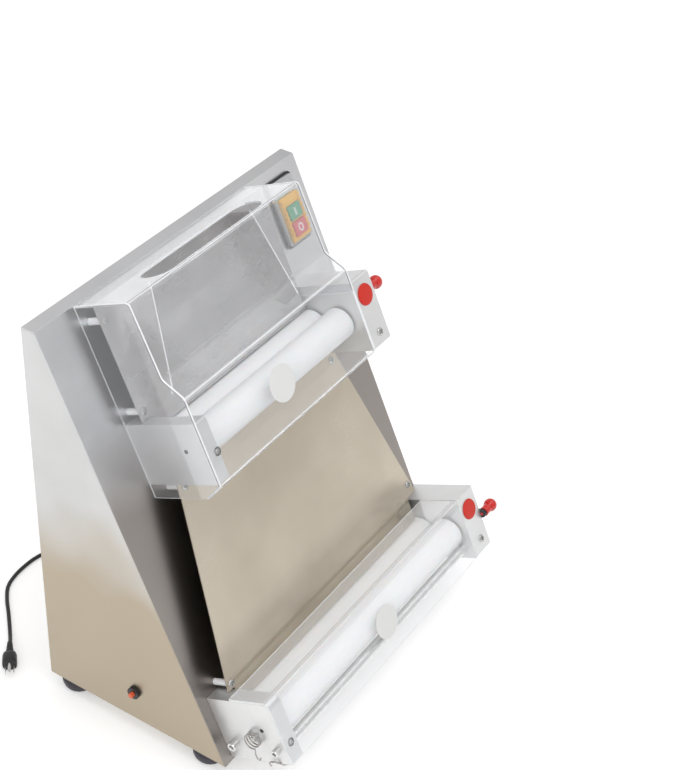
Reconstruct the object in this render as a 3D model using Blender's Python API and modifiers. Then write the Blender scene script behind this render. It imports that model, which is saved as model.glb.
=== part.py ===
"""Two-stage dough sheeter: a sloping steel cabinet with two pairs of nylon rollers under clear guards.

Everything on the sloping front is drawn in the "slope" frame: x to the right, y up the slope from
the panel's top edge, z straight out of the panel. A distance down the slope is called "down".
"""

from collections import namedtuple
from math import asin, atan2, cos, hypot, pi, radians, sin

import bmesh
import bpy
from mathutils import Matrix, Vector

# Cabinet
BODY_WIDTH = 0.590
BODY_HEIGHT = 0.636
BODY_DEPTH = 0.326
TOP_DEPTH = 0.022
SHEET = 0.0015
FOOT_HEIGHT = 0.028
FOOT_RADIUS = 0.027
FOOT_INSET_X = 0.0275
FOOT_INSET_FRONT = 0.047
FOOT_INSET_REAR = 0.032

# Clearances
GAP = 0.0003
RUNNING_GAP = 0.0003
ROLLER_END_GAP = 0.0025

# Rollers and gears
ROLLER_RADIUS = 0.025
NIP = 0.001
JOURNAL_RADIUS = 0.008
ROLLER_EDGE = 0.0015
CENTRE_DISTANCE = 2 * ROLLER_RADIUS + NIP
GEAR_TEETH = 17
GEAR_WIDTH = 0.012
GEAR_MODULE = CENTRE_DISTANCE / GEAR_TEETH
ADDENDUM = 0.75 * GEAR_MODULE
DEDENDUM = 1.05 * GEAR_MODULE
GEAR_CLEARANCE = 0.0015
JOURNAL_OVERHANG = 0.002
PULLEY_WIDTH = 0.012
PULLEY_CLEARANCE = 0.003
BELT_RADIUS = 0.003
BELT_RUN_RADIUS = 0.015

# Front roller's sliding bearings and the levers that set the roller gap
SLIDE_TRAVEL = 0.003
SLIDE_BLOCK = 0.026
SLIDE_DEPTH = 0.0095
LEVER_ARM = 0.038
LEVER_THICKNESS = 0.006
LEVER_HUB_RADIUS = 0.010
LEVER_TIP_RADIUS = 0.0065
KNOB_RADIUS = 0.011
KNOB_REACH = 0.028
KNOB_NECK_RADIUS = 0.0078
PLUNGER_RADIUS = 0.0027

# The two roller stages. Down and out are measured on the slope, sides from the middle of the cabinet.
Stage = namedtuple("Stage", "name left left_width right right_width top bottom right_top right_bottom front axis "
                            "rear_out corner right_corner lever_angle cap_down")
HALF_WIDTH = BODY_WIDTH / 2
SLOPE_LENGTH = hypot(BODY_HEIGHT, BODY_DEPTH - TOP_DEPTH)
UPPER_AXIS = 0.230
UPPER_REAR_OUT = ROLLER_RADIUS + 0.009
LOWER_BOTTOM = SLOPE_LENGTH - 0.006
LOWER_AXIS = LOWER_BOTTOM - ROLLER_RADIUS - 0.024
LOWER_REAR_OUT = ROLLER_RADIUS + 0.003
UPPER = Stage(
    name="upper",
    left=0.102 - HALF_WIDTH,
    left_width=0.022,
    right=HALF_WIDTH - 0.1245,
    right_width=0.0465,
    top=UPPER_AXIS - ROLLER_RADIUS - 0.022,
    bottom=UPPER_AXIS + ROLLER_RADIUS + 0.022,
    right_top=UPPER_AXIS - ROLLER_RADIUS - 0.036,
    right_bottom=UPPER_AXIS + ROLLER_RADIUS + 0.026,
    front=UPPER_REAR_OUT + CENTRE_DISTANCE + ROLLER_RADIUS + 0.019,
    axis=UPPER_AXIS,
    rear_out=UPPER_REAR_OUT,
    corner=0.003,
    right_corner=0.004,
    lever_angle=radians(45),
    cap_down=UPPER_AXIS - 0.031,
)
LOWER = Stage(
    name="lower",
    left=0.044 - HALF_WIDTH,
    left_width=0.026,
    right=HALF_WIDTH - 0.047,
    right_width=0.047,
    top=LOWER_AXIS - ROLLER_RADIUS - 0.029,
    bottom=LOWER_BOTTOM,
    right_top=LOWER_AXIS - ROLLER_RADIUS - 0.033,
    right_bottom=LOWER_BOTTOM + 0.0025,
    front=LOWER_REAR_OUT + CENTRE_DISTANCE + ROLLER_RADIUS + 0.011,
    axis=LOWER_AXIS,
    rear_out=LOWER_REAR_OUT,
    corner=0.010,
    right_corner=0.0015,
    lever_angle=radians(86),
    cap_down=LOWER_AXIS - 0.0275,
)
INNER_WALL = 0.010
OUTER_WALL = 0.002
HOUSING_EDGE = 0.0012
CAP_RADIUS = 0.017
CAP_STEM_RADIUS = 0.008
CAP_STEM = 0.006
OPENING_MARGIN = 0.004

# Switch on the slope and reset button on the left side
SWITCH_X = HALF_WIDTH - 0.0555
SWITCH_WIDTH = 0.063
SWITCH_TOP = 0.017
SWITCH_BOTTOM = 0.124
SWITCH_CORNER = 0.008
SWITCH_RIM = 0.012
SWITCH_BACK = 0.022
SWITCH_FLANGE = 0.006
BUTTON_WIDTH = 0.029
BUTTON_HEIGHT = 0.022
BUTTON_OUT = 0.0145
BUTTON_FLOOR = 0.0037
BUTTON_TRAVEL = 0.003
BUTTON_DOWN = {"green": 0.0725, "red": 0.0985}
RESET_Y = -0.163
RESET_HEIGHT = 0.056
RESET_BODY_RADIUS = 0.006
RESET_BODY_LENGTH = 0.012
RESET_COLLAR_RADIUS = 0.010
RESET_COLLAR_LENGTH = 0.005
RESET_BUTTON_RADIUS = 0.004
RESET_BUTTON_LENGTH = 0.020
RESET_BUTTON_PROUD = 0.011

# Plates in front of the slope, on round spacers
SPACER_RADIUS = 0.005
SPACER_INSET = 0.010
HOPPER_OUT = 0.0285
HOPPER_LEFT = UPPER.left - 0.017
HOPPER_RIGHT = UPPER.right - 0.004
HOPPER_TOP = 0.007
HOPPER_END = UPPER.top + 0.0205
HOPPER_SPACER_TOP = 0.032
HOPPER_SPACER_LOW_LEFT = UPPER.top - 0.013
HOPPER_SPACER_LOW_RIGHT = UPPER.top - 0.032
GUIDE_HEIGHT = 0.035
GUIDE_SLANT = 0.020
GUIDE_TOP = 0.010
GUIDE_END = HOPPER_END - 0.0215
GUIDE_LEFT = (UPPER.left + 0.059, UPPER.left + 0.017)
GUIDE_RIGHT = (UPPER.right - 0.0765, UPPER.right - 0.0385)
CHUTE_OUT = 0.0305
CHUTE_TOP = UPPER.bottom + 0.010
CHUTE_SHOULDER_LEFT = LOWER.top - 0.002
CHUTE_SHOULDER_RIGHT = LOWER.top - 0.0155
CHUTE_END = LOWER.top + 0.027
CHUTE_TOP_EDGES = (UPPER.left - 0.005, UPPER.right + 0.0195)
CHUTE_LOW_EDGES = (LOWER.left - 0.011, LOWER.right + 0.010)
CHUTE_TONGUE_EDGES = (LOWER.left + 0.003, LOWER.right - 0.014)
CHUTE_SPACER_INSET = 0.012
CHUTE_LOW_SCREW_LEFT = CHUTE_SHOULDER_LEFT - 0.008
CHUTE_LOW_SCREW_RIGHT = CHUTE_SHOULDER_RIGHT - 0.0185

# Clear guards
GUARD_SHEET = 0.003
GUARD_TOP_OUT = 0.103
GUARD_SHOULDER_OUT = 0.106
GUARD_SHOULDER_DOWN = UPPER.top - 0.067
GUARD_FRONT_DOWN = UPPER.top - 0.038
GUARD_END = UPPER.bottom + 0.021
GUARD_LIP = UPPER.bottom + 0.004
SLOT_LEFT = UPPER.left + 0.053
SLOT_RIGHT = UPPER.right - 0.0625
SLOT_DEPTH = 0.054
SLOT_OUT = 0.068
LOWER_GUARD_BACK = 0.045
LOWER_GUARD_BEND = 0.012
TIE_ROD_RADIUS = 0.008
TIE_ROD_DOWN = LOWER.bottom - 0.018
TIE_ROD_OUT = LOWER.front - 0.019

# Drive inside the cabinet
MOTOR_RADIUS = 0.055
MOTOR_LENGTH = 0.150
MOTOR_FOOT_INSET = 0.020
MOTOR_FOOT_HALF = 0.045
MOTOR_FOOT_BELOW_AXIS = 0.030
DRIVE_BACK = 0.062
DRIVE_HEIGHT = 0.085

# Power cord: it comes down from its gland to a coil behind the cabinet and leads from there to the plug
CORD_RADIUS = 0.00325
CORD_ABOVE_FLOOR = CORD_RADIUS + GAP
GLAND_X = -0.060
GLAND_HEIGHT = 0.060
GLAND_RADIUS = 0.009
GLAND_STEM_RADIUS = 0.0065
GLAND_STEM = 0.008
GLAND_LENGTH = 0.018
COIL_CENTRE = Vector((0.012, 0.120))
COIL_RADIUS = 0.036
COIL_WIDTH = 6 * CORD_RADIUS
COIL_HEIGHT = 4 * CORD_RADIUS
PLUG_AT = Vector((-0.284, 0.095))
PLUG_HEADING = atan2(-0.66, -0.75)
PLUG_LENGTH = 0.036
PLUG_RADIUS = 0.0115
PLUG_NECK_RADIUS = 0.006
PLUG_NECK = 0.010

SLOPE_ANGLE = atan2(BODY_HEIGHT, BODY_DEPTH - TOP_DEPTH)
BODY_TOP = FOOT_HEIGHT + BODY_HEIGHT
ALONG_X = (0, pi / 2, 0)
PROFILE_TO_X = (pi / 2, 0, pi / 2)


# --- helpers -----------------------------------------------------------------------------------

for old in list(bpy.data.objects):
    bpy.data.objects.remove(old, do_unlink=True)

parts = bpy.data.collections.new("dough_sheeter")
cutters = bpy.data.collections.new("cutters")
bpy.context.scene.collection.children.link(parts)
bpy.context.scene.collection.children.link(cutters)
cutters.hide_render = True


def finish(name, colour, metallic, roughness, alpha=1.0):
    material = bpy.data.materials.new(name)
    material.use_nodes = True
    shader = material.node_tree.nodes["Principled BSDF"]
    shader.inputs["Base Color"].default_value = (*colour, 1)
    shader.inputs["Metallic"].default_value = metallic
    shader.inputs["Roughness"].default_value = roughness
    shader.inputs["Alpha"].default_value = alpha
    return material


STEEL = finish("stainless_steel", (0.62, 0.62, 0.60), 1, 0.32)
BRIGHT = finish("bright_steel", (0.75, 0.75, 0.74), 1, 0.18)
ALUMINIUM = finish("aluminium", (0.66, 0.66, 0.64), 1, 0.40)
NYLON = finish("white_nylon", (0.90, 0.90, 0.91), 0, 0.35)
CLEAR = finish("clear_polycarbonate", (0.85, 0.90, 0.95), 0, 0.08, alpha=0.3)
RED = finish("red_plastic", (0.68, 0.04, 0.02), 0, 0.20)
ORANGE = finish("orange_red_plastic", (0.80, 0.14, 0.05), 0, 0.30)
BLACK = finish("black_plastic", (0.02, 0.02, 0.022), 0, 0.40)
RUBBER = finish("black_rubber", (0.035, 0.03, 0.04), 0, 0.55)
GREEN = finish("green_plastic", (0.05, 0.30, 0.14), 0, 0.35)
BELT_GREEN = finish("green_polyurethane", (0.02, 0.36, 0.08), 0, 0.40)
GREY_PAINT = finish("grey_paint", (0.20, 0.22, 0.24), 0, 0.50)
CORD_BLACK = finish("black_pvc", (0.015, 0.015, 0.018), 0, 0.45)


def frame(name, parent=None, at=(0, 0, 0), turn=(0, 0, 0)):
    """An empty that other pieces hang from."""
    empty = bpy.data.objects.new(name, None)
    empty.parent = parent
    empty.location = at
    empty.rotation_euler = turn
    parts.objects.link(empty)
    return empty


def put(obj, parent, at, turn, material):
    """Links a piece, or a cutter where there is no material, and places it under its parent."""
    obj.parent = parent
    obj.location = at
    obj.rotation_euler = turn
    if material:
        obj.data.materials.append(material)
        parts.objects.link(obj)
    else:
        obj.hide_render = True
        obj.display_type = "WIRE"
        cutters.objects.link(obj)
    return obj


def from_shape(name, shape, parent, at, turn, material):
    mesh = bpy.data.meshes.new(name)
    shape.to_mesh(mesh)
    shape.free()
    return put(bpy.data.objects.new(name, mesh), parent, at, turn, material)


def box(name, low, high, parent, material=None):
    """A block between two opposite corners."""
    shape = bmesh.new()
    size = Vector(high) - Vector(low)
    bmesh.ops.create_cube(shape, size=1, matrix=Matrix.Diagonal((*size, 1)))
    return from_shape(name, shape, parent, (Vector(high) + Vector(low)) / 2, (0, 0, 0), material)


def rod(name, radius, length, parent, at, turn=(0, 0, 0), material=None, sides=20):
    """A cylinder about its own z, centred on the given point."""
    shape = bmesh.new()
    bmesh.ops.create_cone(shape, cap_ends=True, segments=sides, radius1=radius, radius2=radius, depth=length)
    obj = from_shape(name, shape, parent, at, turn, material)
    obj.data.shade_smooth()
    obj.data.set_sharp_from_angle(angle=radians(40))
    return obj


def turned(name, profile, parent, at, turn, material, steps=24, ring=False):
    """A turned piece: (radius, height) points down its outer side, spun about its own z."""
    mesh = bpy.data.meshes.new(name)
    edges = [(i, i + 1) for i in range(len(profile) - 1)]
    if ring:
        edges.append((len(profile) - 1, 0))
    mesh.from_pydata([(radius, 0, height) for radius, height in profile], edges, [])
    obj = put(bpy.data.objects.new(name, mesh), parent, at, turn, material)
    screw = obj.modifiers.new("turn", "SCREW")
    screw.angle = 2 * pi
    screw.steps = steps
    screw.render_steps = steps
    screw.use_merge_vertices = True
    screw.merge_threshold = 1e-5
    screw.use_smooth_shade = False
    return obj


def flat(name, outlines, thickness, parent, at, turn, material=None):
    """A plate from its outline and the outlines of its holes, centred on its thickness, as a mesh."""
    curve = bpy.data.curves.new(name + "_outline", "CURVE")
    curve.dimensions = "2D"
    curve.fill_mode = "BOTH"
    curve.extrude = thickness / 2
    for outline in outlines:
        spline = curve.splines.new("POLY")
        spline.points.add(len(outline) - 1)
        for point, (x, y) in zip(spline.points, outline):
            point.co = (x, y, 0, 1)
        spline.use_cyclic_u = True
    drawn = bpy.data.objects.new(name + "_outline", curve)
    parts.objects.link(drawn)
    mesh = bpy.data.meshes.new_from_object(drawn.evaluated_get(bpy.context.evaluated_depsgraph_get()))
    bpy.data.objects.remove(drawn)
    shape = bmesh.new()
    shape.from_mesh(mesh)
    bmesh.ops.remove_doubles(shape, verts=shape.verts, dist=1e-6)
    bpy.data.meshes.remove(mesh)
    return from_shape(name, shape, parent, at, turn, material)


def tube(name, points, radius, parent, material, closed=False, sides=2):
    """A round bar or cord along points."""
    curve = bpy.data.curves.new(name, "CURVE")
    curve.dimensions = "3D"
    curve.bevel_depth = radius
    curve.bevel_resolution = sides
    curve.use_fill_caps = not closed
    spline = curve.splines.new("POLY")
    spline.points.add(len(points) - 1)
    for point, place in zip(spline.points, points):
        point.co = (*place, 1)
    spline.use_cyclic_u = closed
    return put(bpy.data.objects.new(name, curve), parent, (0, 0, 0), (0, 0, 0), material)


def combine(obj, other, operation):
    step = obj.modifiers.new(other.name, "BOOLEAN")
    step.operation = operation
    step.solver = "EXACT"
    step.object = other


def cut(obj, *tools):
    for tool in tools:
        combine(obj, tool, "DIFFERENCE")


def join(obj, *additions):
    for addition in additions:
        combine(obj, addition, "UNION")


def circle(x, y, radius, sides=20):
    return [(x + radius * cos(2 * pi * i / sides), y + radius * sin(2 * pi * i / sides)) for i in range(sides)]


def rounded(points, radii, steps=4, closed=True):
    """The outline with an arc of the given radius at each corner; 0 leaves it sharp."""
    result = []
    count = len(points)
    for i, (point, radius) in enumerate(zip(points, radii)):
        if radius == 0 or (not closed and i in (0, count - 1)):
            result.append(tuple(point))
            continue
        corner = Vector(point)
        back = (Vector(points[i - 1]) - corner).normalized()
        ahead = (Vector(points[(i + 1) % count]) - corner).normalized()
        half = back.angle(ahead) / 2
        centre = corner + (back + ahead).normalized() * (radius / sin(half))
        start = corner + back * (radius * cos(half) / sin(half)) - centre
        end = corner + ahead * (radius * cos(half) / sin(half)) - centre
        turn = atan2(start.x * end.y - start.y * end.x, start.dot(end))
        for k in range(steps + 1):
            result.append(tuple(centre + Matrix.Rotation(turn * k / steps, 2) @ start))
    return result


def inset(points, distance):
    """A closed outline moved inwards by the distance, corner by corner."""
    area = sum(a[0] * b[1] - b[0] * a[1] for a, b in zip(points, points[1:] + points[:1]))
    side = 1 if area > 0 else -1
    result = []
    for before, here, after in zip(points[-1:] + points[:-1], points, points[1:] + points[:1]):
        one = (Vector(here) - Vector(before)).normalized()
        two = (Vector(after) - Vector(here)).normalized()
        first = Vector((-one.y, one.x)) * side
        second = Vector((-two.y, two.x)) * side
        result.append(tuple(Vector(here) + (first + second) * distance / (1 + first.dot(second))))
    return result


def down_out(points):
    """Turns (down, out) pairs into the (y, z) pairs of the slope frame."""
    return [(-down, out) for down, out in points]


machine = frame("machine")
slope = frame("slope", machine, (0, -TOP_DEPTH, BODY_TOP), (SLOPE_ANGLE, 0, 0))


# --- cabinet -----------------------------------------------------------------------------------

def slope_at(height, behind):
    """y of the sloping panel's outer face, or of a plane behind it, at a height above the cabinet's bottom."""
    lean = (BODY_DEPTH - TOP_DEPTH) / BODY_HEIGHT
    return -TOP_DEPTH - (BODY_HEIGHT - height) * lean + behind * hypot(1, lean)


def in_slope(y, z):
    """(down, out) on the slope of a point given in the cabinet's y and z."""
    lean = Vector((BODY_DEPTH - TOP_DEPTH, BODY_HEIGHT)).normalized()
    back = y + TOP_DEPTH
    below = BODY_TOP - z
    return Vector((lean.y * below - lean.x * back, -lean.x * below - lean.y * back))


def belt_crossing(stage, out):
    """How far down the belt's lower run passes a plane at that distance out of the slope."""
    shaft = in_slope(-DRIVE_BACK, FOOT_HEIGHT + DRIVE_HEIGHT)
    pulley = Vector((stage.axis, stage.rear_out))
    run = (shaft - pulley).normalized()
    across = Vector((run.y, -run.x))
    edge = pulley + (BELT_RUN_RADIUS + BELT_RADIUS) * max(across, -across, key=lambda side: side.x)
    return edge.x + run.x * (out - edge.y) / run.y


def make_front_panel():
    """Bent sheet: the narrow top strip and the slope, with openings for the switch and the two drives."""
    outer = [(0, BODY_HEIGHT), (-TOP_DEPTH, BODY_HEIGHT), (-BODY_DEPTH, 0)]
    inner = [(slope_at(0, SHEET), 0), (slope_at(BODY_HEIGHT - SHEET, SHEET), BODY_HEIGHT - SHEET)]
    inner.append((0, BODY_HEIGHT - SHEET))
    at = (0, 0, FOOT_HEIGHT)
    panel = flat("front_panel", [outer + inner], BODY_WIDTH, machine, at, PROFILE_TO_X, STEEL)
    for stage in (UPPER, LOWER):
        low_end = belt_crossing(stage, -SHEET) + OPENING_MARGIN
        low = (stage.right + INNER_WALL, -low_end, -4 * SHEET)
        high = (stage.right + stage.right_width - 2 * OUTER_WALL, -stage.right_top - OPENING_MARGIN, 4 * SHEET)
        cut(panel, box(stage.name + "_drive_opening", low, high, slope))
    cut(panel, box("switch_opening", *switch_body(GAP), slope))


def make_side_panels():
    behind = SHEET + GAP
    outline = [(0, 0), (slope_at(0, behind), 0)]
    outline += [(slope_at(BODY_HEIGHT - behind, behind), BODY_HEIGHT - behind), (0, BODY_HEIGHT - behind)]
    for side, name in ((-1, "side_panel_left"), (1, "side_panel_right")):
        holes = [circle(RESET_Y, RESET_HEIGHT, RESET_BODY_RADIUS + GAP)] if side < 0 else []
        at = (side * (BODY_WIDTH - SHEET) / 2, 0, FOOT_HEIGHT)
        flat(name, [outline] + holes, SHEET, machine, at, PROFILE_TO_X, STEEL)


def make_base_and_rear():
    side = BODY_WIDTH / 2 - SHEET - GAP
    behind = SHEET + GAP
    front = slope_at(SHEET, behind)
    box("base_plate", (-side, front, FOOT_HEIGHT), (side, -behind, FOOT_HEIGHT + SHEET), machine, STEEL)
    low = (-side, -SHEET, FOOT_HEIGHT)
    rear = box("rear_cover", low, (side, 0, BODY_TOP - behind), machine, STEEL)
    at = (GLAND_X, 0, FOOT_HEIGHT + GLAND_HEIGHT)
    cut(rear, rod("gland_hole", GLAND_STEM_RADIUS + GAP, 6 * SHEET, machine, at, (pi / 2, 0, 0)))


def make_feet():
    """Domed rubber feet under the four corners."""
    profile = [(0, FOOT_HEIGHT - GAP), (0.85 * FOOT_RADIUS, FOOT_HEIGHT - GAP)]
    for k in range(6):
        angle = radians(20 + 14 * k)
        reach = FOOT_RADIUS * cos(angle - radians(20)) ** 0.5
        profile.append((reach, (FOOT_HEIGHT - GAP) * (1 - sin(angle))))
    profile.append((0.35 * FOOT_RADIUS, 0))
    profile.append((0, 0))
    for row, y in (("front", -BODY_DEPTH + FOOT_INSET_FRONT), ("rear", -FOOT_INSET_REAR)):
        for side, word in ((-1, "left"), (1, "right")):
            at = (side * (BODY_WIDTH / 2 - FOOT_INSET_X), y, 0)
            turned(f"foot_{row}_{word}", profile, machine, at, (0, 0, 0), RUBBER, steps=20)


# --- switch and reset button ---------------------------------------------------------------------

def switch_body(extra):
    """Opposite corners of the switch's body behind the panel, with a clearance all round."""
    x = SWITCH_WIDTH / 2 - SWITCH_FLANGE + extra
    low = (SWITCH_X - x, -SWITCH_BOTTOM + SWITCH_FLANGE - extra, -SWITCH_BACK)
    high = (SWITCH_X + x, -SWITCH_TOP - SWITCH_FLANGE + extra, 2 * SHEET)
    return low, high


def make_switch():
    """Panel switch: a rim with the body behind it, and two buttons in one pocket each."""
    x = SWITCH_WIDTH / 2
    middle = -(SWITCH_TOP + SWITCH_BOTTOM) / 2
    height = (SWITCH_BOTTOM - SWITCH_TOP) / 2
    corners = [(-x, -height), (x, -height), (x, height), (-x, height)]
    outline = rounded(corners, [SWITCH_CORNER] * 4, steps=3)
    at = (SWITCH_X, middle, (SWITCH_RIM + GAP) / 2)
    rim = flat("switch_frame", [outline], SWITCH_RIM - GAP, slope, at, (0, 0, 0), BLACK)
    join(rim, box("switch_body", *switch_body(0), slope))
    for colour, material in (("green", GREEN), ("red", RED)):
        down = BUTTON_DOWN[colour]
        reach = (BUTTON_WIDTH / 2, BUTTON_HEIGHT / 2)
        low = (SWITCH_X - reach[0] - GAP, -down - reach[1] - GAP, BUTTON_FLOOR)
        high = (SWITCH_X + reach[0] + GAP, -down + reach[1] + GAP, 2 * SWITCH_RIM)
        cut(rim, box(colour + "_pocket", low, high, slope))
        start = BUTTON_FLOOR + BUTTON_TRAVEL + GAP
        low = (SWITCH_X - reach[0], -down - reach[1], start)
        high = (SWITCH_X + reach[0], -down + reach[1], BUTTON_OUT)
        box(colour + "_button", low, high, slope, material)


def make_reset():
    """Overload reset on the left panel: a collar through the sheet and a button that slides in it."""
    outside = -BODY_WIDTH / 2
    at = (outside, RESET_Y, FOOT_HEIGHT + RESET_HEIGHT)
    bore = RESET_BUTTON_RADIUS + GAP
    face = -GAP - RESET_COLLAR_LENGTH
    profile = [(bore, face), (RESET_COLLAR_RADIUS, face), (RESET_COLLAR_RADIUS, -GAP)]
    profile += [(RESET_BODY_RADIUS, -GAP), (RESET_BODY_RADIUS, RESET_BODY_LENGTH), (bore, RESET_BODY_LENGTH)]
    turned("reset_collar", profile[::-1], machine, at, ALONG_X, BLACK, steps=20, ring=True)
    middle = (outside - RESET_BUTTON_PROUD + RESET_BUTTON_LENGTH / 2, RESET_Y, FOOT_HEIGHT + RESET_HEIGHT)
    rod("reset_button", RESET_BUTTON_RADIUS, RESET_BUTTON_LENGTH, machine, middle, ALONG_X, ORANGE)


# --- plates in front of the slope ----------------------------------------------------------------

def spacer(name, x, down, length):
    rod(name, SPACER_RADIUS, length - 2 * GAP, slope, (x, -down, length / 2), (0, 0, 0), NYLON, sides=16)


def make_hopper():
    """Feed plate above the upper rollers, with two upright dough guides, on four white spacers."""
    side = ROLLER_END_GAP
    step = UPPER.top - GAP
    outline = [(HOPPER_LEFT, -HOPPER_TOP), (HOPPER_LEFT, -step), (UPPER.left + side, -step)]
    outline += [(UPPER.left + side, -HOPPER_END), (HOPPER_RIGHT, -HOPPER_END), (HOPPER_RIGHT, -HOPPER_TOP)]
    at = (0, 0, HOPPER_OUT + SHEET / 2)
    plate = flat("hopper_plate", [outline], SHEET, slope, at, (0, 0, 0), STEEL)
    half = (GUIDE_END - GUIDE_TOP) / 2
    for word, (top_x, end_x) in (("left", GUIDE_LEFT), ("right", GUIDE_RIGHT)):
        lean = atan2(end_x - top_x, 2 * half)
        centre = ((top_x + end_x) / 2, -GUIDE_TOP - half, HOPPER_OUT + SHEET / 2)
        blade = [(-half, 0), (half, 0), (half, GUIDE_HEIGHT), (GUIDE_SLANT - half, GUIDE_HEIGHT)]
        turn = Matrix.Rotation(lean, 4, "Z") @ Matrix.Rotation(pi / 2, 4, "Z") @ Matrix.Rotation(pi / 2, 4, "X")
        guide = flat("guide_" + word, [blade], SHEET, slope, centre, turn.to_euler())
        join(plate, guide)
    left = HOPPER_LEFT + SPACER_INSET
    right = HOPPER_RIGHT - SPACER_INSET
    for name, x, down in (("top_left", left, HOPPER_SPACER_TOP), ("low_left", left, HOPPER_SPACER_LOW_LEFT),
                          ("top_right", right, HOPPER_SPACER_TOP), ("low_right", right, HOPPER_SPACER_LOW_RIGHT)):
        spacer("hopper_spacer_" + name, x, down, HOPPER_OUT)


def make_chute():
    """Flat plate that carries the sheet from the upper rollers to the lower ones."""
    top_left, top_right = CHUTE_TOP_EDGES
    low_left, low_right = CHUTE_LOW_EDGES
    end_left, end_right = CHUTE_TONGUE_EDGES
    outline = [(top_left, -CHUTE_TOP), (low_left, -CHUTE_SHOULDER_LEFT), (end_left, -CHUTE_SHOULDER_LEFT)]
    outline += [(end_left, -CHUTE_END), (end_right, -CHUTE_END), (end_right, -CHUTE_SHOULDER_RIGHT)]
    outline += [(low_right, -CHUTE_SHOULDER_RIGHT), (top_right, -CHUTE_TOP)]
    at = (0, 0, CHUTE_OUT + SHEET / 2)
    flat("chute_plate", [outline], SHEET, slope, at, (0, 0, 0), STEEL)
    for word, side, top_x, low_x, low_down in (("left", 1, top_left, low_left, CHUTE_LOW_SCREW_LEFT),
                                               ("right", -1, top_right, low_right, CHUTE_LOW_SCREW_RIGHT)):
        inwards = side * CHUTE_SPACER_INSET
        spacer("chute_spacer_top_" + word, top_x + inwards, CHUTE_TOP + SPACER_INSET, CHUTE_OUT)
        spacer("chute_spacer_low_" + word, low_x + inwards, low_down, CHUTE_OUT)


# --- roller stages -------------------------------------------------------------------------------

def front_out(stage):
    return stage.rear_out + CENTRE_DISTANCE


def housing_outline(top, bottom, front, corner):
    corners = down_out([(top, GAP), (bottom, GAP), (bottom, front), (top, front)])
    return rounded(corners, [0, 0, HOUSING_EDGE, corner], steps=3)


def journal_bore(stage, name, x, length):
    at = (x, -stage.axis, stage.rear_out)
    return rod(name, JOURNAL_RADIUS + RUNNING_GAP, length, slope, at, ALONG_X, sides=24)


def slide_pocket(stage, name, x_low, x_high):
    """Room for the front roller's bearing block and its travel away from the rear roller."""
    half = SLIDE_BLOCK / 2
    out = front_out(stage)
    low = (x_low, -stage.axis - half - GAP, out - half - GAP)
    high = (x_high, -stage.axis + half + GAP, out + half + SLIDE_TRAVEL + GAP)
    return box(name, low, high, slope)


def make_left_housing(stage):
    """Solid end block: a blind bore for the rear journal and a blind pocket for the front bearing."""
    name = stage.name + "_housing_left"
    at = (stage.left - stage.left_width / 2, 0, 0)
    outline = housing_outline(stage.top, stage.bottom, stage.front, stage.corner)
    block = flat(name, [outline], stage.left_width, slope, at, PROFILE_TO_X, ALUMINIUM)
    depth = SLIDE_DEPTH + 2 * GAP
    cut(block, journal_bore(stage, name + "_bore", stage.left, 2 * depth))
    cut(block, slide_pocket(stage, name + "_pocket", stage.left - depth, stage.left + depth))


def make_right_housing(stage):
    """Hollow end box, open towards the cabinet, that holds the gears and the driven pulley."""
    name = stage.name + "_housing_right"
    at = (stage.right + stage.right_width / 2, 0, 0)
    outline = housing_outline(stage.right_top, stage.right_bottom, stage.front, stage.right_corner)
    shell = flat(name, [outline], stage.right_width, slope, at, PROFILE_TO_X, ALUMINIUM)
    top = stage.right_top + OUTER_WALL
    bottom = stage.right_bottom - OUTER_WALL
    front = stage.front - OUTER_WALL
    room = down_out([(top, -CAP_RADIUS), (bottom, -CAP_RADIUS), (bottom, front), (top, front)])
    room = rounded(room, [0, 0, 0, stage.right_corner], steps=3)
    width = stage.right_width - INNER_WALL - OUTER_WALL
    middle = stage.right + INNER_WALL + width / 2
    cut(shell, flat(name + "_room", [room], width, slope, (middle, 0, 0), PROFILE_TO_X))
    cut(shell, journal_bore(stage, name + "_bore", stage.right + INNER_WALL / 2, 2 * INNER_WALL))
    cut(shell, slide_pocket(stage, name + "_pocket", stage.right - OUTER_WALL, stage.right + INNER_WALL + OUTER_WALL))
    outside = stage.right + stage.right_width
    at = (outside, -stage.axis, front_out(stage))
    cut(shell, rod(name + "_lever_hole", JOURNAL_RADIUS + GAP, 4 * OUTER_WALL, slope, at, ALONG_X, sides=24))
    at = (cap_x(stage), -stage.cap_down, stage.front)
    cut(shell, rod(name + "_cap_hole", CAP_STEM_RADIUS + GAP, 4 * OUTER_WALL, slope, at))
    if belt_crossing(stage, 0) > stage.right_bottom - OPENING_MARGIN:
        belt_x = pulley_x(stage)
        low = (belt_x - PULLEY_WIDTH / 2, -stage.right_bottom - OPENING_MARGIN, -SHEET)
        high = (belt_x + PULLEY_WIDTH / 2, -stage.right_bottom + OPENING_MARGIN, stage.rear_out - 2 * BELT_RADIUS)
        cut(shell, box(name + "_belt_slot", low, high, slope))


def cap_x(stage):
    return stage.right + stage.right_width / 2


def gear_x(stage):
    return stage.right + INNER_WALL + GEAR_CLEARANCE + GEAR_WIDTH / 2


def pulley_x(stage):
    return stage.right + stage.right_width - OUTER_WALL - PULLEY_CLEARANCE - PULLEY_WIDTH / 2


def front_journal_end(stage):
    return gear_x(stage) + GEAR_WIDTH / 2 + JOURNAL_OVERHANG


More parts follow.
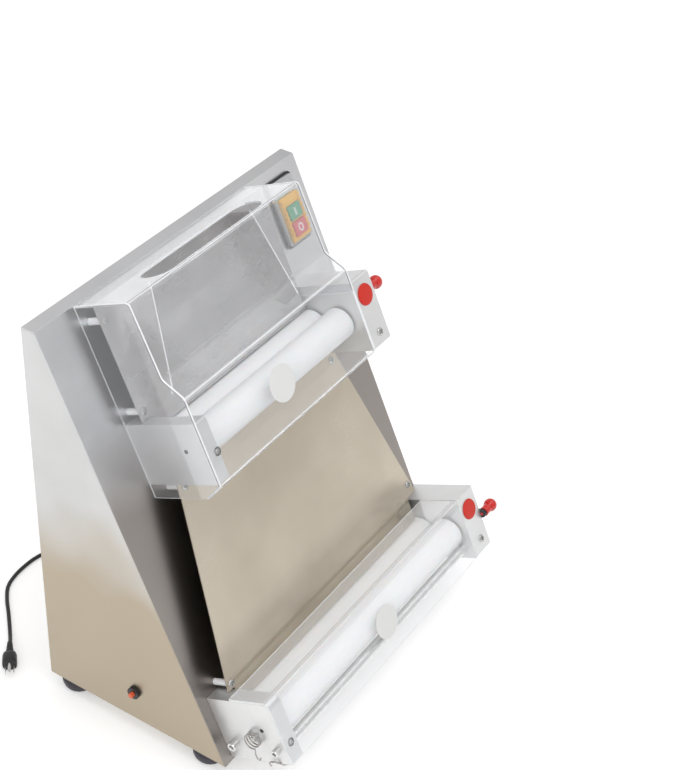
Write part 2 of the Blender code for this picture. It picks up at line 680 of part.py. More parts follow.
def make_cap(stage):
    """Red plug in the front of the right housing."""
    at = (cap_x(stage), -stage.cap_down, stage.front)
    crown = CAP_RADIUS / 7
    profile = [(0, crown), (0.6 * CAP_RADIUS, 0.93 * crown), (0.955 * CAP_RADIUS, 0.7 * crown), (CAP_RADIUS, GAP)]
    profile += [(CAP_STEM_RADIUS, GAP), (CAP_STEM_RADIUS, -CAP_STEM), (0, -CAP_STEM)]
    turned(stage.name + "_red_cap", profile, slope, at, (0, 0, 0), RED)


def make_roller(stage, row, out, right_end):
    """Nylon roll with its two steel journals, turned in one profile about X."""
    left_end = stage.left - SLIDE_DEPTH
    face_left = stage.left + ROLLER_END_GAP
    face_right = stage.right - ROLLER_END_GAP
    profile = [(0, right_end), (JOURNAL_RADIUS, right_end), (JOURNAL_RADIUS, face_right)]
    profile += [(ROLLER_RADIUS - ROLLER_EDGE, face_right), (ROLLER_RADIUS, face_right - ROLLER_EDGE)]
    profile += [(ROLLER_RADIUS, face_left + ROLLER_EDGE), (ROLLER_RADIUS - ROLLER_EDGE, face_left)]
    profile += [(JOURNAL_RADIUS, face_left), (JOURNAL_RADIUS, left_end), (0, left_end)]
    at = (0, -stage.axis, out)
    turned(f"{stage.name}_roller_{row}", profile, slope, at, ALONG_X, NYLON, steps=32)


def make_bearing_slides(stage):
    """Square bronze blocks that carry the front roller's journals and slide in the housings."""
    half = SLIDE_BLOCK / 2
    square = [(-half, -half), (half, -half), (half, half), (-half, half)]
    bore = circle(0, 0, JOURNAL_RADIUS + RUNNING_GAP, 24)
    for word, x in (("left", stage.left - SLIDE_DEPTH / 2 - GAP), ("right", stage.right + INNER_WALL / 2)):
        at = (x, -stage.axis, front_out(stage))
        flat(f"{stage.name}_bearing_{word}", [square, bore], SLIDE_DEPTH - GAP, slope, at, ALONG_X, BRIGHT)


def gear_outline(phase):
    """Spur gear outline with a tooth centred on the phase angle; the flanks approach an involute."""
    pitch = CENTRE_DISTANCE / 2
    base = pitch * cos(radians(20))
    rings = (pitch - DEDENDUM, base, pitch, pitch + ADDENDUM)
    half_tooth = 0.46 * pi / GEAR_TEETH
    def involute(radius):
        roll = max((radius / base) ** 2 - 1, 0) ** 0.5
        return roll - atan2(roll, 1)
    halves = [half_tooth + involute(pitch) - involute(radius) for radius in rings]
    points = []
    for k in range(GEAR_TEETH):
        centre = phase + 2 * pi * k / GEAR_TEETH
        for radius, half in zip(rings, halves):
            points.append((radius * cos(centre - half), radius * sin(centre - half)))
        for radius, half in zip(rings[::-1], halves[::-1]):
            points.append((radius * cos(centre + half), radius * sin(centre + half)))
    return points


def make_gears(stage):
    """Nylon gears that make the two rollers of a pair turn against each other."""
    bore = circle(0, 0, JOURNAL_RADIUS + GAP, 24)
    for row, out, phase in (("rear", stage.rear_out, pi + pi / GEAR_TEETH), ("front", front_out(stage), 0)):
        at = (gear_x(stage), -stage.axis, out)
        flat(f"{stage.name}_gear_{row}", [gear_outline(phase), bore], GEAR_WIDTH, slope, at, ALONG_X, NYLON)


def groove(radius, half_width):
    """Down the outer side of a round-belt pulley: rim, groove and rim."""
    rim = radius + BELT_RADIUS + GAP
    bottom = radius - BELT_RADIUS - 2 * GAP
    wide = 1.75 * BELT_RADIUS
    narrow = 0.8 * BELT_RADIUS
    return [(rim, half_width), (rim, wide), (bottom, narrow), (bottom, -narrow), (rim, -wide), (rim, -half_width)]


def make_roller_pulley(stage):
    bore = JOURNAL_RADIUS + GAP
    profile = groove(BELT_RUN_RADIUS, PULLEY_WIDTH / 2)
    profile += [(bore, -PULLEY_WIDTH / 2), (bore, PULLEY_WIDTH / 2)]
    at = (pulley_x(stage), -stage.axis, stage.rear_out)
    turned(stage.name + "_roller_pulley", profile, slope, at, ALONG_X, ALUMINIUM, ring=True)


def make_lever(stage):
    """Black gap lever on the housing's outer face, and the sprung ball knob in its end."""
    outside = stage.right + stage.right_width
    plate_x = outside + GAP + LEVER_THICKNESS / 2
    pivot = frame(stage.name + "_lever_pivot", slope, (plate_x, -stage.axis, front_out(stage)))
    tip = (-LEVER_ARM * sin(stage.lever_angle), LEVER_ARM * cos(stage.lever_angle))
    lean = atan2(tip[1], tip[0])
    spread = asin((LEVER_HUB_RADIUS - LEVER_TIP_RADIUS) / LEVER_ARM)
    outline = []
    sides = 8
    for centre, radius, start, sweep in (((0, 0), LEVER_HUB_RADIUS, pi / 2 - spread, pi + 2 * spread),
                                         (tip, LEVER_TIP_RADIUS, -pi / 2 + spread, pi - 2 * spread)):
        for k in range(sides + 1):
            angle = lean + start + sweep * k / sides
            outline.append((centre[0] + radius * cos(angle), centre[1] + radius * sin(angle)))
    hole = circle(*tip, PLUNGER_RADIUS + GAP, 12)
    lever = flat(stage.name + "_gap_lever", [outline, hole], LEVER_THICKNESS, pivot, (0, 0, 0), ALONG_X, BLACK)
    stem = plate_x - front_journal_end(stage) - JOURNAL_OVERHANG
    join(lever, rod(stage.name + "_lever_stem", JOURNAL_RADIUS, stem, pivot, (-stem / 2, 0, 0), ALONG_X, sides=24))
    make_knob(stage, pivot, tip)


def make_knob(stage, pivot, tip):
    face = LEVER_THICKNESS / 2
    centre = KNOB_REACH - GAP - face
    profile = [(0, centre + KNOB_RADIUS)]
    for k in range(1, 9):
        angle = radians(17 * k)
        profile.append((KNOB_RADIUS * sin(angle), centre + KNOB_RADIUS * cos(angle)))
    profile.append((KNOB_NECK_RADIUS, face + GAP))
    profile.append((PLUNGER_RADIUS, face + GAP))
    profile += [(PLUNGER_RADIUS, -face + GAP), (0, -face + GAP)]
    at = (0, tip[1], -tip[0])
    turned(stage.name + "_ball_knob", profile, pivot, at, ALONG_X, RED, steps=20)


def make_stage(stage):
    make_left_housing(stage)
    make_right_housing(stage)
    make_cap(stage)
    make_roller(stage, "rear", stage.rear_out, pulley_x(stage) + PULLEY_WIDTH / 2)
    make_roller(stage, "front", front_out(stage), front_journal_end(stage))
    make_bearing_slides(stage)
    make_gears(stage)
    make_roller_pulley(stage)
    make_lever(stage)


# --- guards --------------------------------------------------------------------------------------

def make_upper_guard():
    """Clear bent hood over the upper rollers: its left side reaches down past the left housing."""
    front = UPPER.front + GAP + GUARD_SHEET
    edge = GUARD_SHEET / 2
    outline = [(edge, GAP), (GUARD_SHEET, GUARD_TOP_OUT), (GUARD_SHOULDER_DOWN, GUARD_SHOULDER_OUT)]
    outline += [(GUARD_FRONT_DOWN, front), (GUARD_LIP, front), (GUARD_END, GUARD_TOP_OUT), (GUARD_END, GAP)]
    outline = down_out(outline)
    left = UPPER.left - UPPER.left_width - GAP - GUARD_SHEET
    right = UPPER.right - GAP
    at = ((left + right) / 2, 0, 0)
    bends = [0, 2 * GUARD_SHEET, 4 * GUARD_SHEET, 4 * GUARD_SHEET, 3 * GUARD_SHEET, 0, 0]
    guard = flat("upper_guard", [rounded(outline, bends, steps=3)], right - left, slope, at, PROFILE_TO_X, CLEAR)
    room = inset(outline, GUARD_SHEET)
    beyond = -GUARD_END - GUARD_SHEET
    rise = (front - GUARD_TOP_OUT) / (GUARD_END - GUARD_LIP)
    room[0] = (room[0][0], -GUARD_SHEET)
    room[-1] = (beyond, -GUARD_SHEET)
    room[-2] = (beyond, room[-2][1] - rise * (room[-2][0] - beyond))
    room = rounded(room, [max(bend - GUARD_SHEET, 0) for bend in bends], steps=3)
    width = right - left - 2 * GUARD_SHEET
    cut(guard, flat("guard_room", [room], width, slope, at, PROFILE_TO_X))
    edge = -UPPER.top + 2 * GAP
    below = [(y, z) for y, z in room if y < edge - GAP]
    below = [(edge, front - GUARD_SHEET)] + below + [(edge, -GUARD_SHEET)]
    cut(guard, flat("guard_right_room", [below], 8 * GUARD_SHEET, slope, (right, 0, 0), PROFILE_TO_X))
    slot_width = SLOT_RIGHT - SLOT_LEFT
    corners = [(-slot_width / 2, -SLOT_DEPTH / 2), (slot_width / 2, -SLOT_DEPTH / 2)]
    corners += [(slot_width / 2, SLOT_DEPTH / 2), (-slot_width / 2, SLOT_DEPTH / 2)]
    slot = rounded(corners, [0.49 * SLOT_DEPTH] * 4, steps=5)
    at = ((SLOT_LEFT + SLOT_RIGHT) / 2, 0, SLOT_OUT)
    cut(guard, flat("feed_slot", [slot], 8 * GUARD_SHEET, slope, at, (pi / 2, 0, 0)))


def make_lower_guard():
    """Clear angle over the lower rollers, resting on the left housing and against the right one."""
    top = LOWER.top - GAP - GUARD_SHEET
    front = LOWER.front + GAP + GUARD_SHEET
    outer = [(top, LOWER_GUARD_BACK), (top, front), (LOWER.bottom, front)]
    inner = [(LOWER.bottom, front - GUARD_SHEET), (top + GUARD_SHEET, front - GUARD_SHEET)]
    inner.append((top + GUARD_SHEET, LOWER_GUARD_BACK))
    bends = [0, LOWER_GUARD_BEND, 0, 0, LOWER_GUARD_BEND - GUARD_SHEET, 0]
    outline = rounded(down_out(outer + inner), bends, steps=5)
    left = LOWER.left - LOWER.left_width
    right = LOWER.right - GAP
    flat("lower_guard", [outline], right - left, slope, ((left + right) / 2, 0, 0), PROFILE_TO_X, CLEAR)


def make_tie_rod():
    """Round bar across the two lower housings, under the front roller."""
    length = LOWER.right - LOWER.left - 2 * GAP
    at = ((LOWER.right + LOWER.left) / 2, -TIE_ROD_DOWN, TIE_ROD_OUT)
    rod("tie_rod", TIE_ROD_RADIUS, length, slope, at, ALONG_X, BRIGHT)


# --- drive ---------------------------------------------------------------------------------------

def on_machine(down, out):
    """Machine-frame (y, z) of a point given in the slope frame."""
    lean = Vector((BODY_DEPTH - TOP_DEPTH, BODY_HEIGHT)).normalized()
    return Vector((-TOP_DEPTH - lean.x * down - lean.y * out, BODY_TOP - lean.y * down + lean.x * out))


def motor_right():
    """Where the motor ends: short of the two belt pulleys on its shaft."""
    return pulley_x(UPPER) - 2 * PULLEY_WIDTH + PULLEY_CLEARANCE


def make_motor():
    """Geared motor on its two feet."""
    right = motor_right()
    left = right - MOTOR_LENGTH
    y = -DRIVE_BACK
    z = FOOT_HEIGHT + DRIVE_HEIGHT
    middle = ((left + right) / 2, y, z)
    motor = rod("gear_motor", MOTOR_RADIUS, MOTOR_LENGTH, machine, middle, ALONG_X, GREY_PAINT, sides=32)
    low = (left + MOTOR_FOOT_INSET, y - MOTOR_FOOT_HALF, FOOT_HEIGHT + SHEET + GAP)
    high = (right - MOTOR_FOOT_INSET, y + MOTOR_FOOT_HALF, z - MOTOR_FOOT_BELOW_AXIS)
    join(motor, box("motor_foot", low, high, machine))


def make_drive_shaft():
    """Output shaft with a belt pulley for each pair of rollers."""
    half = PULLEY_WIDTH / 2
    profile = [(0, pulley_x(LOWER) + half), (JOURNAL_RADIUS, pulley_x(LOWER) + half)]
    for stage in (LOWER, UPPER):
        x = pulley_x(stage)
        profile += [(radius, x + along) for radius, along in groove(BELT_RUN_RADIUS, half - GAP)]
        profile.append((JOURNAL_RADIUS, x - half + GAP))
        if stage is LOWER:
            profile.append((JOURNAL_RADIUS, pulley_x(UPPER) + half - GAP))
    profile += [(JOURNAL_RADIUS, motor_right() + GAP), (0, motor_right() + GAP)]
    at = (0, -DRIVE_BACK, FOOT_HEIGHT + DRIVE_HEIGHT)
    turned("drive_shaft", profile, machine, at, ALONG_X, BRIGHT)


def make_belt(stage):
    """Round green belt from the drive shaft to the rear roller's pulley."""
    near = on_machine(stage.axis, stage.rear_out)
    far = Vector((-DRIVE_BACK, FOOT_HEIGHT + DRIVE_HEIGHT))
    heading = atan2(near.y - far.y, near.x - far.x)
    points = []
    steps = 10
    for centre, start in ((near, heading - pi / 2), (far, heading + pi / 2)):
        for k in range(steps + 1):
            angle = start + pi * k / steps
            y = centre.x + BELT_RUN_RADIUS * cos(angle)
            z = centre.y + BELT_RUN_RADIUS * sin(angle)
            points.append((pulley_x(stage), y, z))
    tube(stage.name + "_belt", points, BELT_RADIUS, machine, BELT_GREEN, closed=True)


# --- power cord ----------------------------------------------------------------------------------


def smooth_route(points, count):
    """Even points along a Catmull-Rom curve through the route."""
    padded = [points[0]] + points + [points[-1]]
    fine = []
    for before, start, end, after in zip(padded, padded[1:], padded[2:], padded[3:]):
        p0, p1, p2, p3 = (Vector(p) for p in (before, start, end, after))
        for k in range(12):
            t = k / 12
            bend = (2 * p0 - 5 * p1 + 4 * p2 - p3) * t * t + (3 * p1 - p0 - 3 * p2 + p3) * t ** 3
            fine.append((2 * p1 + (p2 - p0) * t + bend) / 2)
    fine.append(Vector(points[-1]))
    lengths = [0]
    for a, b in zip(fine, fine[1:]):
        lengths.append(lengths[-1] + (b - a).length)
    result = []
    for i in range(count):
        wanted = lengths[-1] * i / (count - 1)
        k = max(j for j in range(len(fine) - 1) if lengths[j] <= wanted + 1e-9)
        share = (wanted - lengths[k]) / (lengths[k + 1] - lengths[k])
        result.append(tuple(fine[k].lerp(fine[k + 1], share)))
    return result


def beside_coil(angle):
    """A point on the floor where the cord touches the outside of the coil."""
    reach = COIL_RADIUS + COIL_WIDTH / 2 + CORD_RADIUS + GAP
    return (COIL_CENTRE.x + reach * cos(angle), COIL_CENTRE.y + reach * sin(angle), CORD_ABOVE_FLOOR)


def make_cord():
    """Gland, cord to the floor, the coil of spare cord, cord to the plug, and the plug."""
    z = FOOT_HEIGHT + GLAND_HEIGHT
    profile = [(0, GLAND_LENGTH), (0.6 * GLAND_RADIUS, GLAND_LENGTH), (GLAND_RADIUS, GLAND_STEM), (GLAND_RADIUS, GAP)]
    profile += [(GLAND_STEM_RADIUS, GAP), (GLAND_STEM_RADIUS, -GLAND_STEM), (0, -GLAND_STEM)]
    turned("cord_gland", profile, machine, (GLAND_X, 0, z), (-pi / 2, 0, 0), BLACK, steps=16)
    route = [(GLAND_X, GLAND_LENGTH + GAP, z), (GLAND_X, 0.034, z - 0.002), (GLAND_X + 0.002, 0.054, z - 0.022)]
    route += [(GLAND_X + 0.008, 0.068, z - 0.050), (GLAND_X + 0.020, 0.077, CORD_ABOVE_FLOOR + 0.011)]
    route += [(GLAND_X + 0.036, 0.078, CORD_ABOVE_FLOOR + 0.001), beside_coil(radians(250))]
    tube("cord_rear", smooth_route(route, 16), CORD_RADIUS, machine, CORD_BLACK)
    outer = COIL_RADIUS + COIL_WIDTH / 2
    inner = COIL_RADIUS - COIL_WIDTH / 2
    ring = [(outer, COIL_HEIGHT), (outer, 0), (inner, 0), (inner, COIL_HEIGHT)]
    turned("cord_coil", ring, machine, (*COIL_CENTRE, GAP), (0, 0, 0), CORD_BLACK, ring=True)
    low = CORD_ABOVE_FLOOR
    route = [beside_coil(radians(98)), (-0.026, 0.166, low), (-0.058, 0.191, low), (-0.096, 0.204, low)]
    route += [(-0.128, 0.206, low), (-0.155, 0.203, low), (-0.178, 0.195, low), (-0.201, 0.176, low)]
    route += [(-0.222, 0.154, low), (-0.243, 0.133, low), (-0.263, 0.1135, low + 0.002)]
    route += [(PLUG_AT.x + 0.0006, PLUG_AT.y + 0.0005, PLUG_RADIUS)]
    tube("cord_front", smooth_route(route, 26), CORD_RADIUS, machine, CORD_BLACK)
    profile = [(0, PLUG_LENGTH), (PLUG_RADIUS, PLUG_LENGTH), (PLUG_RADIUS, PLUG_NECK), (PLUG_NECK_RADIUS, 0), (0, 0)]
    turn = (pi / 2, 0, PLUG_HEADING + pi / 2)
    turned("plug", profile, machine, (*PLUG_AT, PLUG_RADIUS), turn, CORD_BLACK, steps=16)


# --- put together --------------------------------------------------------------------------------

CORD_NODES = ("cord_gland", "cord_rear", "cord_coil", "cord_front", "plug")


def stand_on_origin():
    """Moves the whole machine so that the origin is under the middle of its box, on the floor."""
    bpy.context.view_layer.update()
    graph = bpy.context.evaluated_depsgraph_get()
    corners = []
    for obj in parts.objects:
        if obj.type == "MESH" and obj.name not in CORD_NODES:
            seen = obj.evaluated_get(graph)
            corners += [seen.matrix_world @ Vector(corner) for corner in seen.bound_box]
    low = Vector(min(corner[i] for corner in corners) for i in range(3))
    high = Vector(max(corner[i] for corner in corners) for i in range(3))
    machine.location = (-(low.x + high.x) / 2, -(low.y + high.y) / 2, -low.z)
    print("machine origin at", tuple(machine.location))


make_front_panel()
make_side_panels()
make_base_and_rear()
make_feet()
make_switch()
make_reset()
make_hopper()
make_chute()
for each in (UPPER, LOWER):
    make_stage(each)
make_upper_guard()
make_lower_guard()
make_tie_rod()
make_motor()
make_drive_shaft()
for each in (UPPER, LOWER):
    make_belt(each)
make_cord()
stand_on_origin()
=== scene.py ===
"""Finishes, fasteners, fittings, cord and studio of the two-stage dough sheeter.

Places on the sloping front are given as (across, down, away): to the right of the cabinet's middle, down
the slope from its top edge, and straight out of the sheet. Everything is in metres.
"""

from math import cos, pi, radians, sin

import bmesh
import bpy
from mathutils import Matrix, Vector


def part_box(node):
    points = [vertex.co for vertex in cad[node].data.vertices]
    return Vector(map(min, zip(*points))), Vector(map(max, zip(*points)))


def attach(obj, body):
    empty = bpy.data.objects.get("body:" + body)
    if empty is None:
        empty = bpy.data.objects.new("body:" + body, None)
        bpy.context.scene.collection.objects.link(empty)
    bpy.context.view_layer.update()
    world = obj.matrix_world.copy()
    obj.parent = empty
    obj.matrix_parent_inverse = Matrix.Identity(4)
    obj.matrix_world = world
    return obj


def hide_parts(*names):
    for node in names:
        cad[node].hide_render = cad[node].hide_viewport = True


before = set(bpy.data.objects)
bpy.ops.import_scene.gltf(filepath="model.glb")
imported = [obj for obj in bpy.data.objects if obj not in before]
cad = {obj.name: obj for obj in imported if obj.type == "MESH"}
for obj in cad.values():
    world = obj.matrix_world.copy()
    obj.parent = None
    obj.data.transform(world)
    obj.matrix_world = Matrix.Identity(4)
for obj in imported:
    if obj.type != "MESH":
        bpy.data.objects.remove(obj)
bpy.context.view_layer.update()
scene = bpy.context.scene

# --- Camera --------------------------------------------------------------------------------------
# A studio camera on a high stand to the machine's left, with a lens of moderate length.

lens = bpy.data.cameras.new("studio_camera")
lens.lens = 79.69
lens.sensor_width = 36
lens.clip_end = 60
camera = bpy.data.objects.new("studio_camera", lens)
camera.location = (-1.6241, -1.0745, 1.9409)
camera.rotation_euler = (radians(53.1123), radians(-2.2222), radians(-56.9142))
scene.collection.objects.link(camera)
scene.camera = camera

# --- Cabinet sheets ------------------------------------------------------------------------------
# The cabinet is folded from 1.5 mm stainless sheet: the front in one piece with its narrow top strip, two
# sides, a rear cover and a base. The sheets are brushed, and each keeps the direction of its own grain. Lower
# down, the front and sides are painted darker and warmer: a painted reflection.

TOP_DEPTH = 0.022
panel_low, panel_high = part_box("front_panel")
edge = Vector(((panel_low.x + panel_high.x) / 2, panel_high.y - TOP_DEPTH, panel_high.z))
up = Vector((0, panel_high.y - panel_low.y - TOP_DEPTH, panel_high.z - panel_low.z)).normalized()
out = Vector((0, -up.z, up.y))


def on_slope(across, down, away):
    return edge + Vector((across, 0, 0)) - up * down + out * away


def slope_box(node):
    """Lowest and highest (across, down, away) of a CAD node."""
    places = [cad[node].matrix_world @ vertex.co - edge for vertex in cad[node].data.vertices]
    places = [(place.x, -place.dot(up), place.dot(out)) for place in places]
    return [min(values) for values in zip(*places)], [max(values) for values in zip(*places)]


def finish(name, colour, metallic, roughness):
    """A plain material, its node tree and its shader."""
    made = bpy.data.materials.new(name)
    made.use_nodes = True
    shader = made.node_tree.nodes["Principled BSDF"]
    shader.inputs["Base Color"].default_value = (*colour, 1)
    shader.inputs["Metallic"].default_value = metallic
    shader.inputs["Roughness"].default_value = roughness
    return made, made.node_tree, shader


def grain(tree, stretch, detail=4.0):
    """Noise over the piece's own coordinates, with so many cells in a metre along each axis."""
    place = tree.nodes.new("ShaderNodeTexCoord")
    scale = tree.nodes.new("ShaderNodeMapping")
    scale.inputs["Scale"].default_value = stretch
    noise = tree.nodes.new("ShaderNodeTexNoise")
    noise.inputs["Scale"].default_value = 1
    noise.inputs["Detail"].default_value = detail
    noise.inputs["Roughness"].default_value = 0.6
    tree.links.new(place.outputs["Object"], scale.inputs["Vector"])
    tree.links.new(scale.outputs["Vector"], noise.inputs["Vector"])
    return noise.outputs["Fac"]


def spread(tree, value, low, high, start=0.3, end=0.7):
    """The value from start to end, stretched to low to high."""
    ranged = tree.nodes.new("ShaderNodeMapRange")
    ranged.inputs["From Min"].default_value = start
    ranged.inputs["From Max"].default_value = end
    ranged.inputs["To Min"].default_value = low
    ranged.inputs["To Max"].default_value = high
    tree.links.new(value, ranged.inputs["Value"])
    return ranged.outputs["Result"]


def blend_colours(tree, value, first, second):
    """first where the value is 0 and second where it is 1; each is a colour or another node's output."""
    mix = tree.nodes.new("ShaderNodeMix")
    mix.data_type = "RGBA"
    for name, colour in (("A_Color", first), ("B_Color", second)):
        socket = next(s for s in mix.inputs if s.identifier == name)
        if isinstance(colour, tuple):
            socket.default_value = (*colour, 1)
        else:
            tree.links.new(colour, socket)
    tree.links.new(value, next(s for s in mix.inputs if s.identifier == "Factor_Float"))
    return next(s for s in mix.outputs if s.identifier == "Result_Color")


def rounded_edges(tree, radius):
    """Normals that turn softly over the piece's edges."""
    bevel = tree.nodes.new("ShaderNodeBevel")
    bevel.samples = 4
    bevel.inputs["Radius"].default_value = radius
    return bevel.outputs["Normal"]


def relief(tree, shader, value, height, edges=0.0):
    """Bumps of the given height, over rounded edges where a radius is given."""
    bump = tree.nodes.new("ShaderNodeBump")
    bump.inputs["Distance"].default_value = height
    tree.links.new(value, bump.inputs["Height"])
    if edges:
        tree.links.new(rounded_edges(tree, edges), bump.inputs["Normal"])
    tree.links.new(bump.outputs["Normal"], shader.inputs["Normal"])


def brushed(name, dark, light, roughness, stretch, clouds=(5, 5, 5), scratch=0.000004, edges=0.0008):
    """Brushed stainless steel: fine lines along one axis, and slow clouds of polish and tint."""
    made, tree, shader = finish(name, light, 1, roughness)
    lines = grain(tree, stretch, detail=5)
    slow = spread(tree, grain(tree, clouds, detail=3), 0, 0.8, 0.35, 0.65)
    both = tree.nodes.new("ShaderNodeMath")
    both.operation = "MULTIPLY_ADD"
    both.inputs[1].default_value = 0.2
    tree.links.new(spread(tree, lines, 0, 1), both.inputs[0])
    tree.links.new(slow, both.inputs[2])
    tree.links.new(blend_colours(tree, both.outputs[0], dark, light), shader.inputs["Base Color"])
    polish = spread(tree, both.outputs[0], roughness + 0.05, roughness - 0.05, 0, 1)
    tree.links.new(polish, shader.inputs["Roughness"])
    relief(tree, shader, lines, scratch, edges)
    return made


def painted_low_reflection(material, colour, start, end):
    """Painted reflection: the sheet painted darker and warmer lower down, with a drifting boundary between
    the two heights.
    """
    tree = material.node_tree
    shader = tree.nodes["Principled BSDF"]
    above = shader.inputs["Base Color"].links[0].from_socket
    place = tree.nodes.new("ShaderNodeTexCoord")
    parts = tree.nodes.new("ShaderNodeSeparateXYZ")
    tree.links.new(place.outputs["Object"], parts.inputs["Vector"])
    drift = tree.nodes.new("ShaderNodeMath")
    drift.operation = "MULTIPLY_ADD"
    drift.inputs[1].default_value = 0.30
    tree.links.new(grain(tree, (4, 4, 4), detail=2), drift.inputs[0])
    tree.links.new(parts.outputs["Z"], drift.inputs[2])
    low_reflection_share = spread(tree, drift.outputs[0], 0, 1, start, end)
    tree.links.new(blend_colours(tree, low_reflection_share, colour, above), shader.inputs["Base Color"])


def wear(material, *names):
    """Gives CAD nodes their finish."""
    for name in names:
        for slot in cad[name].material_slots:
            slot.material = material


ACROSS_GRAIN = (4, 1500, 1500)
UPRIGHT_GRAIN = (1500, 1500, 6)
front_steel = brushed("front_steel", (0.68, 0.68, 0.695), (0.82, 0.82, 0.83), 0.34, ACROSS_GRAIN)
side_steel = brushed("side_steel", (0.60, 0.60, 0.595), (0.67, 0.67, 0.67), 0.34, UPRIGHT_GRAIN)
# The front and sides are painted darker and warmer lower down: painted reflection, not a tint of the steel.
painted_low_reflection(front_steel, (0.34, 0.31, 0.29), 0.52, 0.66)
painted_low_reflection(side_steel, (0.46, 0.395, 0.305), 0.38, 0.54)
wear(front_steel, "front_panel")
wear(side_steel, "side_panel_left", "side_panel_right", "rear_cover", "base_plate")

# --- Feet ----------------------------------------------------------------------------------------
# Four domed feet of black rubber under the corners, moulded with a fine matt skin.

rubber, tree, shader = finish("foot_rubber", (0.035, 0.031, 0.042), 0, 0.5)
relief(tree, shader, grain(tree, (900, 900, 900), detail=3), 0.00006)
tree.links.new(spread(tree, grain(tree, (60, 60, 60)), 0.42, 0.58), shader.inputs["Roughness"])
wear(rubber, "foot_front_left", "foot_front_right", "foot_rear_left", "foot_rear_right")

# --- Hopper and chute plates ---------------------------------------------------------------------
# The feed plate with its two upright dough guides, and the long chute below it, are smoother sheet. They
# stand on white nylon spacers, and a round-headed cross-recessed screw holds each corner but the hopper's top
# right one.

PLATE_GRAIN = (5, 1500, 1500)
hopper_steel = brushed("hopper_steel", (0.49, 0.48, 0.48), (0.66, 0.65, 0.65), 0.26, PLATE_GRAIN, (9, 9, 9))
chute_steel = brushed("chute_steel", (0.50, 0.44, 0.355), (0.61, 0.55, 0.455), 0.30, PLATE_GRAIN, (4, 4, 4))
tree = hopper_steel.node_tree
shader = tree.nodes["Principled BSDF"]
# The top edges of the two guides are painted near-white and less metallic: a painted highlight along each
# edge.
guide_top = slope_box("hopper_plate")[1][2] + edge.dot(out)
place = tree.nodes.new("ShaderNodeTexCoord")
height = tree.nodes.new("ShaderNodeVectorMath")
height.operation = "DOT_PRODUCT"
height.inputs[1].default_value = out
tree.links.new(place.outputs["Object"], height.inputs[0])
painted_edge_highlight = spread(tree, height.outputs["Value"], 0, 1, guide_top - 0.0012, guide_top - 0.0008)
below = shader.inputs["Base Color"].links[0].from_socket
tree.links.new(blend_colours(tree, painted_edge_highlight, below, (0.95, 0.95, 0.95)), shader.inputs["Base Color"])
tree.links.new(spread(tree, painted_edge_highlight, 1, 0.1, 0, 1), shader.inputs["Metallic"])
wear(hopper_steel, "hopper_plate")
wear(chute_steel, "chute_plate")

nylon, tree, shader = finish("white_nylon", (0.86, 0.86, 0.87), 0, 0.34)
shader.inputs["Subsurface Weight"].default_value = 0.15
shader.inputs["Subsurface Scale"].default_value = 0.004
lathe_marks = grain(tree, (900, 12, 12), detail=2)
mottle = spread(tree, grain(tree, (9, 9, 9)), 0, 1)
tree.links.new(blend_colours(tree, mottle, (0.88, 0.88, 0.885), (0.93, 0.93, 0.935)),
               shader.inputs["Base Color"])
tree.links.new(spread(tree, lathe_marks, 0.28, 0.4), shader.inputs["Roughness"])
relief(tree, shader, lathe_marks, 0.00003)
spacers = [f"{plate}_spacer_{row}_{side}" for plate in ("hopper", "chute") for row in ("top", "low")
           for side in ("left", "right")]
wear(nylon, *spacers)

zinc, tree, shader = finish("zinc_screw", (0.52, 0.52, 0.51), 1, 0.2)
tree.links.new(spread(tree, grain(tree, (600, 600, 600)), 0.14, 0.3), shader.inputs["Roughness"])


